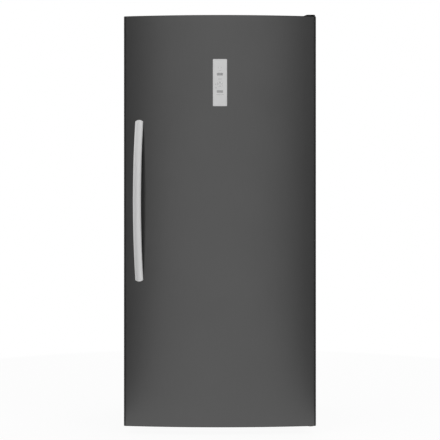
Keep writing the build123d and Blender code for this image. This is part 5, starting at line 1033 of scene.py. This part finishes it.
# ---- inside of the door


class FREEZER_OT_door_liner(FreezerPiece, bpy.types.Operator):
    """The door's vacuum-formed liner with its ridge and the steps of the bins"""

    bl_idname = "freezer.door_liner"
    bl_label = "Door liner"

    def make(self, sizes):
        low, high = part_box("door_liner")
        crest, recess = high.y, low.y + LINER_WALL
        ridge_half, ridge_low, ridge_high, width, draft = 0.345, 0.1065, 1.741, 0.030, 0.001
        levels = [(high.x, low.z, high.z, DOOR_BACK)] + [
            (ridge_half - inset, ridge_low + inset, ridge_high - inset, depth)
            for inset, depth in ((0.0, DOOR_BACK), (draft, crest), (width, crest), (width, recess))
        ]
        bm = bmesh.new()
        loops = []
        for half, bottom, top, depth in levels:
            corners = [(-half, depth, bottom), (half, depth, bottom), (half, depth, top), (-half, depth, top)]
            loops.append(trace(bm, corners)[1])
        for outer, inner in zip(loops, loops[1:]):
            bmesh.ops.bridge_loops(bm, edges=outer + inner)
        face_of(bm, loops[-1])
        bmesh.ops.recalc_face_normals(bm, faces=bm.faces)
        # the ridge's four outer corners are rounded first, then the recess's four
        bevel(bm, running(those(bm.edges, lambda spot: abs(spot.x) > ridge_half - 0.01), 1, 0.9), 0.020, 6)
        bevel(bm, running(those(bm.edges, lambda spot: abs(spot.x) < ridge_half - 0.025), 1, 0.9), 0.010, 4)
        bevel(bm, those(bm.edges, lambda spot: abs(spot.y - crest) < NEAR, 1.0), sizes.ridge_corner, 5)
        foot = those(bm.edges, lambda spot: spot.y < recess + 1e-4 or abs(spot.y - DOOR_BACK) < NEAR, 1.0)
        bevel(bm, foot, 0.004)
        liner = place(bm, "door_liner_shell", "door", "White liner", ["door_liner"], 40.0)
        if liner.data.polygons[0].normal.y < 0:
            liner.data.flip_normals()
        thicken(liner, LINER_WALL * 0.9, -1)

        bm = bmesh.new()
        half = ridge_half - width
        for number in range(1, 5):
            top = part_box(f"door_bin_{number}")[0].z - 0.0003
            side_boxes(bm, half - 0.009, half + 0.001, (recess - 0.001, top - 0.009), (recess + 0.070, top), 0.002)
        place(bm, "door_liner_steps", "door", "White liner")


class FREEZER_OT_door_gasket(FreezerPiece, bpy.types.Operator):
    """The magnetic gasket with its pleats"""

    bl_idname = "freezer.door_gasket"
    bl_label = "Door gasket"

    def make(self, sizes):
        low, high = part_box("door_gasket")
        base, seal = low.y + 0.003, high.y
        bm = bmesh.new()
        for inset, width, y0, y1 in (
            (0.0, 0.028, low.y, base), (0.004, 0.0035, base - 0.0006, seal - 0.003),
            (0.0205, 0.0035, base - 0.0006, seal - 0.003), (0.0045, 0.019, seal - 0.0038, seal),
            (0.0105, 0.006, base - 0.0006, seal - 0.0034),
        ):
            self.ring(bm, (low.x + inset, high.x - inset, low.z + inset, high.z - inset), width, y0, y1)
        place(bm, "door_gasket_profile", "door", "Gasket vinyl", ["door_gasket"], 50.0)

    @staticmethod
    def ring(bm, outline, width, y0, y1):
        """Adds a flat ring with rounded edges inside an outline of (x0, x1, z0, z1)."""
        x0, x1, z0, z1 = outline
        outer, inner = (
            [bm.verts.new((x, y0, z)) for x, z in (
                (x0 + step, z0 + step), (x1 - step, z0 + step), (x1 - step, z1 - step), (x0 + step, z1 - step),
            )] for step in (0, width)
        )
        band = []
        for here, there in ((0, 1), (1, 2), (2, 3), (3, 0)):
            band += face_of(bm, [outer[here], outer[there], inner[there], inner[here]])
        ring = pull(bm, band, (0, y1 - y0, 0)) + outer + inner
        along = [edge for edge in edges_of(ring) if edge.calc_length() > 0.3 and edge.calc_face_angle(0) > 1.0]
        bevel(bm, along, min(width, y1 - y0) * 0.3)


class FREEZER_OT_door_bins(FreezerPiece, bpy.types.Operator):
    """The storage bins on the door"""

    bl_idname = "freezer.door_bins"
    bl_label = "Door bins"

    def make(self, sizes):
        bow, rear_depth, fall = 0.007, 0.045, 0.45   # the sides fall towards the front over this share of the height
        for number in range(1, 5):
            low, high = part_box(f"door_bin_{number}")
            half, near, far = high.x, low.y, high.y - bow
            bm = bmesh.new()
            slices(bm, box(bm, (-half, near, low.z), (half, far, high.z)), 0, 24)
            for vert in bm.verts:
                if vert.co.y > far - NEAR:
                    vert.co.y += bow * (1 - (vert.co.x / half) ** 2)
            corners = those(bm.edges, lambda spot: abs(spot.x) > half - NEAR and spot.y > far - 1e-3)
            bevel(bm, running(corners, 2), 0.014, 5)
            bevel(bm, those(bm.edges, lambda spot: spot.z < low.z + NEAR, 1.0), 0.006)
            bmesh.ops.bisect_plane(
                bm, geom=everything(bm), plane_co=(0, near + rear_depth, high.z),
                plane_no=(0, -fall * (high.z - low.z), rear_depth), clear_outer=True,
            )
            bm.normal_update()
            drop(bm, [face for face in those(bm.faces, lambda spot: spot.z > high.z - 1e-4) if face.normal.z > 0.95])
            tray = place(bm, f"door_bin_{number}_tray", "door", "Bin plastic", [f"door_bin_{number}"])
            thicken(tray, 0.0025, -1)
            round_edges(tray, 0.0008, 50.0)


# ---- cooling, behind the duct cover and at the back

TUBE_FLAT = 0.87                          # the frame's six-sided tubes reach this share of their radius up and down
TUBE_FIT = 0.98                           # the round tubes stay just inside them


def serpentine(half, pitch, runs, low, depth, middle):
    """Points of a tube's straight runs, joined at their ends, from its lower left."""
    points = []
    for run in range(runs):
        heading = -1 if run % 2 else 1
        z = low + run * pitch
        first, last = (half if run == end else half + pitch / 2 for end in (0, runs - 1))
        points += [(middle - heading * first, depth, z), (middle + heading * last, depth, z)]
    return points


def fan(bm, centre, axis, outward, radius, width=0.014, blades=5):
    """Adds an axial fan with twisted blades."""
    axis, outward, centre = Vector(axis), Vector(outward), Vector(centre)
    bore, hub, thick = 0.0027, 0.013, 0.0016
    hub_pitch, tip_pitch = 44, 26         # the blades' slope to the wheel's plane, in degrees
    lathe(bm, [(bore, 0), (hub - 0.001, 0), (hub, 0.001), (hub, width), (bore, width), (bore, 0)], centre, axis, 40)
    for blade in range(blades):
        way = Matrix.Rotation(math.tau * blade / blades, 3, axis) @ outward
        around = axis.cross(way)
        slices(bm, box(bm, (0, -0.5, -0.5), (1, 0.5, 0.5)), 0, 5)
        made = [vert for vert in bm.verts if -0.001 <= vert.co.x <= 1.001 and abs(abs(vert.co.y) - 0.5) < NEAR]
        for vert in made:
            share = vert.co.x
            pitch = math.radians(hub_pitch + (tip_pitch - hub_pitch) * share)
            chord = (0.45 + 0.5 * share) * 0.92 * width / math.sin(pitch)
            reach = hub - 0.002 + share * (radius - 0.012 - 0.0015)
            across = around * math.cos(pitch) + axis * math.sin(pitch)
            flat = way.cross(across)
            vert.co = centre + axis * width / 2 + way * reach + across * vert.co.y * chord + flat * vert.co.z * thick


class FREEZER_OT_cooling(FreezerPiece, bpy.types.Operator):
    """The evaporator with its fins, heater, fans and motors"""

    bl_idname = "freezer.cooling"
    bl_label = "Evaporator and fans"

    def make(self, sizes):
        low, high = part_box("evaporator_coil")
        flat = sizes.tube * TUBE_FLAT
        pitch = (high.z - low.z - 2 * flat) / 3
        bm = bmesh.new()
        runs = serpentine(0.285, pitch, 4, low.z + flat, (low.y + high.y) / 2, 0.0)
        bent_wire(bm, runs, sizes.tube * TUBE_FIT, pitch * 0.45)
        place(bm, "evaporator_tube", "cabinet", "Bare aluminium", ["evaporator_coil"], 60.0)
        low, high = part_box("evaporator_fins")
        thin = 0.0002
        bm = bmesh.new()
        for x in evenly(low.x + 2 * thin, high.x - 2 * thin, 52):
            box(bm, (x - thin, low.y, low.z), (x + thin, high.y, high.z))
        place(bm, "evaporator_fin_pack", "cabinet", "Bare aluminium", ["evaporator_fins"])
        wear("Bare aluminium", "defrost_heater")
        wear("Galvanised sheet", "fan_motors")
        for name, axis, outward in (("evaporator_fan", (0, -1, 0), (1, 0, 0)), ("condenser_fan", (1, 0, 0), (0, 1, 0))):
            low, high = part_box(name)
            joint = next(item for item in frame["joints"] if item["child"] == name)
            spot = Vector(joint["pos_m"])
            if axis[1]:
                spot.y = high.y
            else:
                spot.x = low.x
            bm = bmesh.new()
            fan(bm, spot, axis, outward, (high.z - low.z) / 2)
            place(bm, name + "_wheel", name, "White moulding", [name])


class FREEZER_OT_machine(FreezerPiece, bpy.types.Operator):
    """The machine compartment: compressor, condenser, copper lines, shroud and drain"""

    bl_idname = "freezer.machine"
    bl_label = "Machine compartment"

    def make(self, sizes):
        tube, bend = sizes.tube, sizes.tube * TUBE_FIT
        low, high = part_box("evaporator_coil")
        coil_y, coil_z = (low.y + high.y) / 2, low.z + tube * TUBE_FLAT
        x, y, foot, seam, top = -0.205, CABINET_BACK - 0.108, 0.045, 0.127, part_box("compressor")[1].z
        stub = top - 0.045
        bm = bmesh.new()
        outline = [(0, foot + 0.003), (0.052, foot + 0.003), (0.064, foot + 0.008), (0.0705, foot + 0.018),
                   (0.072, foot + 0.03), (0.072, seam - 0.003), (0.0752, seam - 0.0026), (0.0755, seam + 0.0026),
                   (0.071, seam + 0.003), (0.071, top - 0.034), (0.0685, top - 0.024), (0.062, top - 0.014),
                   (0.048, top - 0.005), (0.028, top - 0.001), (0, top - 0.0002)]
        lathe(bm, outline, (x, y, 0), (0, 0, 1), 64)
        soft_box(bm, (x - 0.085, y - 0.06, foot), (x + 0.085, y + 0.06, foot + 0.003), 0.0012)
        soft_box(bm, (x - 0.03, y - 0.09, seam - 0.05), (x + 0.03, y - 0.052, seam - 0.005), 0.004, 3)
        rod(bm, (x - 0.08, coil_y, stub), (x - 0.02, coil_y, stub), tube)
        rod(bm, (x + 0.02, y + 0.02, stub), (x + 0.02, y + 0.077, stub), tube)
        place(bm, "compressor_pot", "cabinet", "Black enamel", ["compressor"], 40.0)
        wear("Black rubber", "compressor_grommets", "drain_tube")

        low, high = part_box("condenser_coil")
        depth = (low.y + high.y) / 2
        start, pitch, rib = 0.082, 0.030, 0.0006
        bm = bmesh.new()
        bent_wire(bm, serpentine(0.170, pitch, 5, start, depth, 0.175), bend, pitch * 0.45)
        for wire_x in evenly(0.018, 0.33192, 33):
            for face in (depth - tube - rib, depth + tube + rib):
                rod(bm, (wire_x, face, start - 0.006), (wire_x, face, start + 4 * pitch + 0.006), 0.0007, 6)
        place(bm, "condenser_tube", "cabinet", "Black enamel", ["condenser_coil"], 60.0)

        line_x, line_y = -0.308, CABINET_BACK - 0.024
        bm = bmesh.new()
        bent_wire(bm, [(x - 0.08, coil_y, stub), (line_x, coil_y, stub), (line_x, coil_y, coil_z),
                       (-0.285, coil_y, coil_z)], bend, 0.012)
        bent_wire(bm, [(x + 0.02, y + 0.077, stub), (x + 0.02, line_y, stub), (-0.035, line_y, stub),
                       (-0.035, depth, start), (0.005, depth, start)], bend, 0.010)
        place(bm, "copper_lines", "cabinet", "Copper tube", ["refrigerant_lines"], 60.0)
        wear("Black plastic", "fan_shroud", "drain_pan")


class FREEZER_OT_feet(FreezerPiece, bpy.types.Operator):
    """The front levelling legs and the rear rollers"""

    bl_idname = "freezer.feet"
    bl_label = "Legs and rollers"

    def make(self, sizes):
        for name in ("leg_left", "leg_right"):
            low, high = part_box(name)
            x, y, _ = (low + high) / 2
            bm = bmesh.new()
            outline = [(0, 0), (0.0165, 0), (0.018, 0.0015), (0.018, 0.0055), (0.0155, 0.0085), (0, 0.009)]
            lathe(bm, outline, (x, y, 0), (0, 0, 1))
            nut = rod(bm, (x, y, 0.009), (x, y, 0.018), 0.0118, 6)
            bevel(bm, edges_of(nut), 0.0008, 2)
            thread, z, pitch = [(0, 0.017)], 0.018, 0.0014
            while z < high.z - 0.0022:
                thread += [(0.0047, z), (0.005, z + pitch / 2)]
                z += pitch
            thread += [(0.0042, high.z), (0, high.z)]
            lathe(bm, thread, (x, y, 0), (0, 0, 1), 24)
            place(bm, name + "_foot", name, "Black plastic", [name], 30.0)
        edge, bore = 0.0015, 0.00305
        for name in ("roller_left", "roller_right"):
            low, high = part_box(name)
            middle = (low + high) / 2
            half, radius = high.x - middle.x, high.z - middle.z
            bm = bmesh.new()
            outline = [(bore, -half), (radius * 0.55, -half), (radius * 0.6, -half + edge),
                       (radius * 0.8, -half + edge), (radius * 0.84, -half), (radius - edge, -half),
                       (radius, -half + edge), (radius, half - edge), (radius - edge, half), (bore, half),
                       (bore, -half)]
            lathe(bm, outline, middle, (1, 0, 0), 64)
            place(bm, name + "_wheel", name, "Black rubber", [name], 30.0)


# ---- stage

LAMPS = (                                 # name, place, size and power
    ("Key light", (-2.6, -3.4, 3.6), 2.4, 44.0),
    ("Fill light", (2.8, -3.4, 2.8), 2.4, 50.0),
    ("Back light", (0.8, 3.2, 3.4), 2.0, 34.0),
)
WALL_CARD = [(0.72, -0.60, 0.0), (1.58, -4.4, 0.0), (1.58, -4.4, 3.6), (0.72, -0.60, 3.6)]
FLOOR_CARD = [(0.56, -0.60, 0.004), (2.4, -0.60, 0.004), (2.4, -3.2, 0.004), (1.25, -3.2, 0.004)]


class FREEZER_OT_stage(FreezerPiece, bpy.types.Operator):
    """The pale floor, the plain soft light and the camera"""

    bl_idname = "freezer.stage"
    bl_label = "Stage"

    def make(self, sizes):
        scene = bpy.context.scene
        scene.view_settings.view_transform = "Standard"
        self.make_world(scene)
        self.make_floor()
        for name, spot, size, power in LAMPS:
            lamp = bpy.data.lights.new(name, "AREA")
            lamp.size = size
            lamp.energy = power
            holder = add_object(name, lamp)
            holder.location = spot
            aim = Vector((0, 0, 0.9)) - Vector(spot)
            holder.rotation_euler = aim.to_track_quat("-Z", "Y").to_euler()
            holder.visible_glossy = False
        self.make_cards()
        lens = bpy.data.cameras.new("Camera")
        lens.lens = 81.29
        lens.sensor_width = 36.0
        camera = add_object("Camera", lens)
        camera.location = (0.0002, -4.638, 0.9335)
        camera.rotation_euler = (math.radians(90.0), 0.0, 0.0)
        scene.camera = camera

    @staticmethod
    def make_cards():
        """Dark cards that only show in reflections."""
        dull = bpy.data.materials.new("Dark card")
        dull.use_nodes = True
        fill(dull.node_tree, dull.node_tree.nodes["Principled BSDF"], {
            "Base Color": (0.004, 0.004, 0.004, 1.0), "Roughness": 1.0, "Specular IOR Level": 0.0,
            "Emission Color": (1.0, 1.0, 1.0, 1.0), "Emission Strength": 0.16,
        })
        for side, hand in ((-1, "left"), (1, "right")):
            for kind, corners, way in (
                ("Dark card", WALL_CARD, (side * 0.02, 0, 0)), ("Dark floor card", FLOOR_CARD, (0, 0, 0.004))
            ):
                bm = bmesh.new()
                plate(bm, [(side * x, y, z) for x, y, z in corners], way)
                card = add_object(f"{kind} {hand}", mesh_of(bm, f"{kind} {hand}"))
                card.data.materials.append(dull)
                for ray in ("camera", "diffuse", "transmission", "shadow", "volume_scatter"):
                    setattr(card, "visible_" + ray, False)

    @staticmethod
    def make_world(scene):
        """A plain white surround: full white where it is seen or mirrored, and softer as a light."""
        world = bpy.data.worlds.new("Surround")
        world.use_nodes = True
        tree = world.node_tree
        tree.nodes.clear()
        rays = node(tree, "LightPath").outputs
        seen = maths(tree, "MAXIMUM", rays["Is Camera Ray"], rays["Is Glossy Ray"])
        seen = maths(tree, "MAXIMUM", seen, rays["Is Transmission Ray"])
        light = node(tree, "Background", {"Color": (1, 1, 1, 1), "Strength": ramp(tree, seen, 0.0, 1.0, 0.55, 1.0)})
        node(tree, "OutputWorld", {0: light.outputs[0]})
        scene.world = world

    @staticmethod
    def make_floor():
        """A pale floor that keeps the freezer's shadow and fades into the surround."""
        bm = bmesh.new()
        bmesh.ops.create_circle(bm, cap_ends=True, segments=96, radius=9.0)
        bmesh.ops.translate(bm, vec=(0, 0, -0.0004), verts=bm.verts)
        paint = bpy.data.materials.new("Pale floor")
        paint.use_nodes = True
        tree = paint.node_tree
        tree.nodes.clear()
        spot = node(tree, "TexCoord").outputs["Object"]
        away = node(tree, "VectorMath", {0: spot}, operation="LENGTH").outputs["Value"]
        rays = node(tree, "LightPath").outputs
        mirrored = maths(tree, "MAXIMUM", rays["Is Glossy Ray"], rays["Is Transmission Ray"])
        nearby = maths(tree, "MAXIMUM", ramp(tree, away, 0.9, 2.6), 0.93)
        share = maths(tree, "MAXIMUM", maths(tree, "MULTIPLY", nearby, rays["Is Camera Ray"]), mirrored)
        matt = node(tree, "BsdfDiffuse", {"Color": bpy.context.scene.freezer_colours.floor}).outputs[0]
        white = node(tree, "Emission", {"Color": (1, 1, 1, 1), "Strength": 1.0}).outputs[0]
        both = node(tree, "MixShader", {0: share, 1: matt, 2: white}).outputs[0]
        node(tree, "OutputMaterial", {0: both})
        floor = add_object("Floor", mesh_of(bm, "Floor"))
        floor.data.materials.append(paint)


# ---- panel and registration

PIECES = (
    FREEZER_OT_door_skin, FREEZER_OT_door_caps, FREEZER_OT_handle, FREEZER_OT_control_panel, FREEZER_OT_hinges,
    FREEZER_OT_cabinet_shell, FREEZER_OT_liner, FREEZER_OT_light, FREEZER_OT_shelves, FREEZER_OT_basket,
    FREEZER_OT_door_liner, FREEZER_OT_door_gasket, FREEZER_OT_door_bins, FREEZER_OT_cooling, FREEZER_OT_machine,
    FREEZER_OT_feet, FREEZER_OT_stage,
)


class FREEZER_PT_pieces(bpy.types.Panel):
    """Lists the freezer's pieces, sizes and colours"""

    bl_label = "Upright freezer"
    bl_space_type = "VIEW_3D"
    bl_region_type = "UI"
    bl_category = "Freezer"

    def draw(self, context):
        """Draws the sizes, the colours and a button for each piece."""
        for group in (context.scene.freezer_sizes, context.scene.freezer_colours):
            column = self.layout.box().column()
            for key in group.__annotations__:
                column.prop(group, key)
        for piece in PIECES:
            self.layout.operator(piece.bl_idname)


CLASSES = (FreezerSizes, FreezerColours, *PIECES, FREEZER_PT_pieces)


def register():
    """Registers the classes and the freezer's settings."""
    for item in CLASSES:
        bpy.utils.register_class(item)
    bpy.types.Scene.freezer_sizes = PointerProperty(type=FreezerSizes)
    bpy.types.Scene.freezer_colours = PointerProperty(type=FreezerColours)


def unregister():
    """Takes the freezer's settings and classes away."""
    del bpy.types.Scene.freezer_sizes
    del bpy.types.Scene.freezer_colours
    for item in reversed(CLASSES):
        bpy.utils.unregister_class(item)


def main():
    """Makes the whole freezer."""
    register()
    for effect_maker in (make_brushed_lines, make_drift, make_peel, make_tint, make_spangle, make_dust):
        effect_maker()
    make_finishes()
    for piece in PIECES:
        family, _, action = piece.bl_idname.partition(".")
        getattr(getattr(bpy.ops, family), action)()


if __name__ == "__main__":
    main()
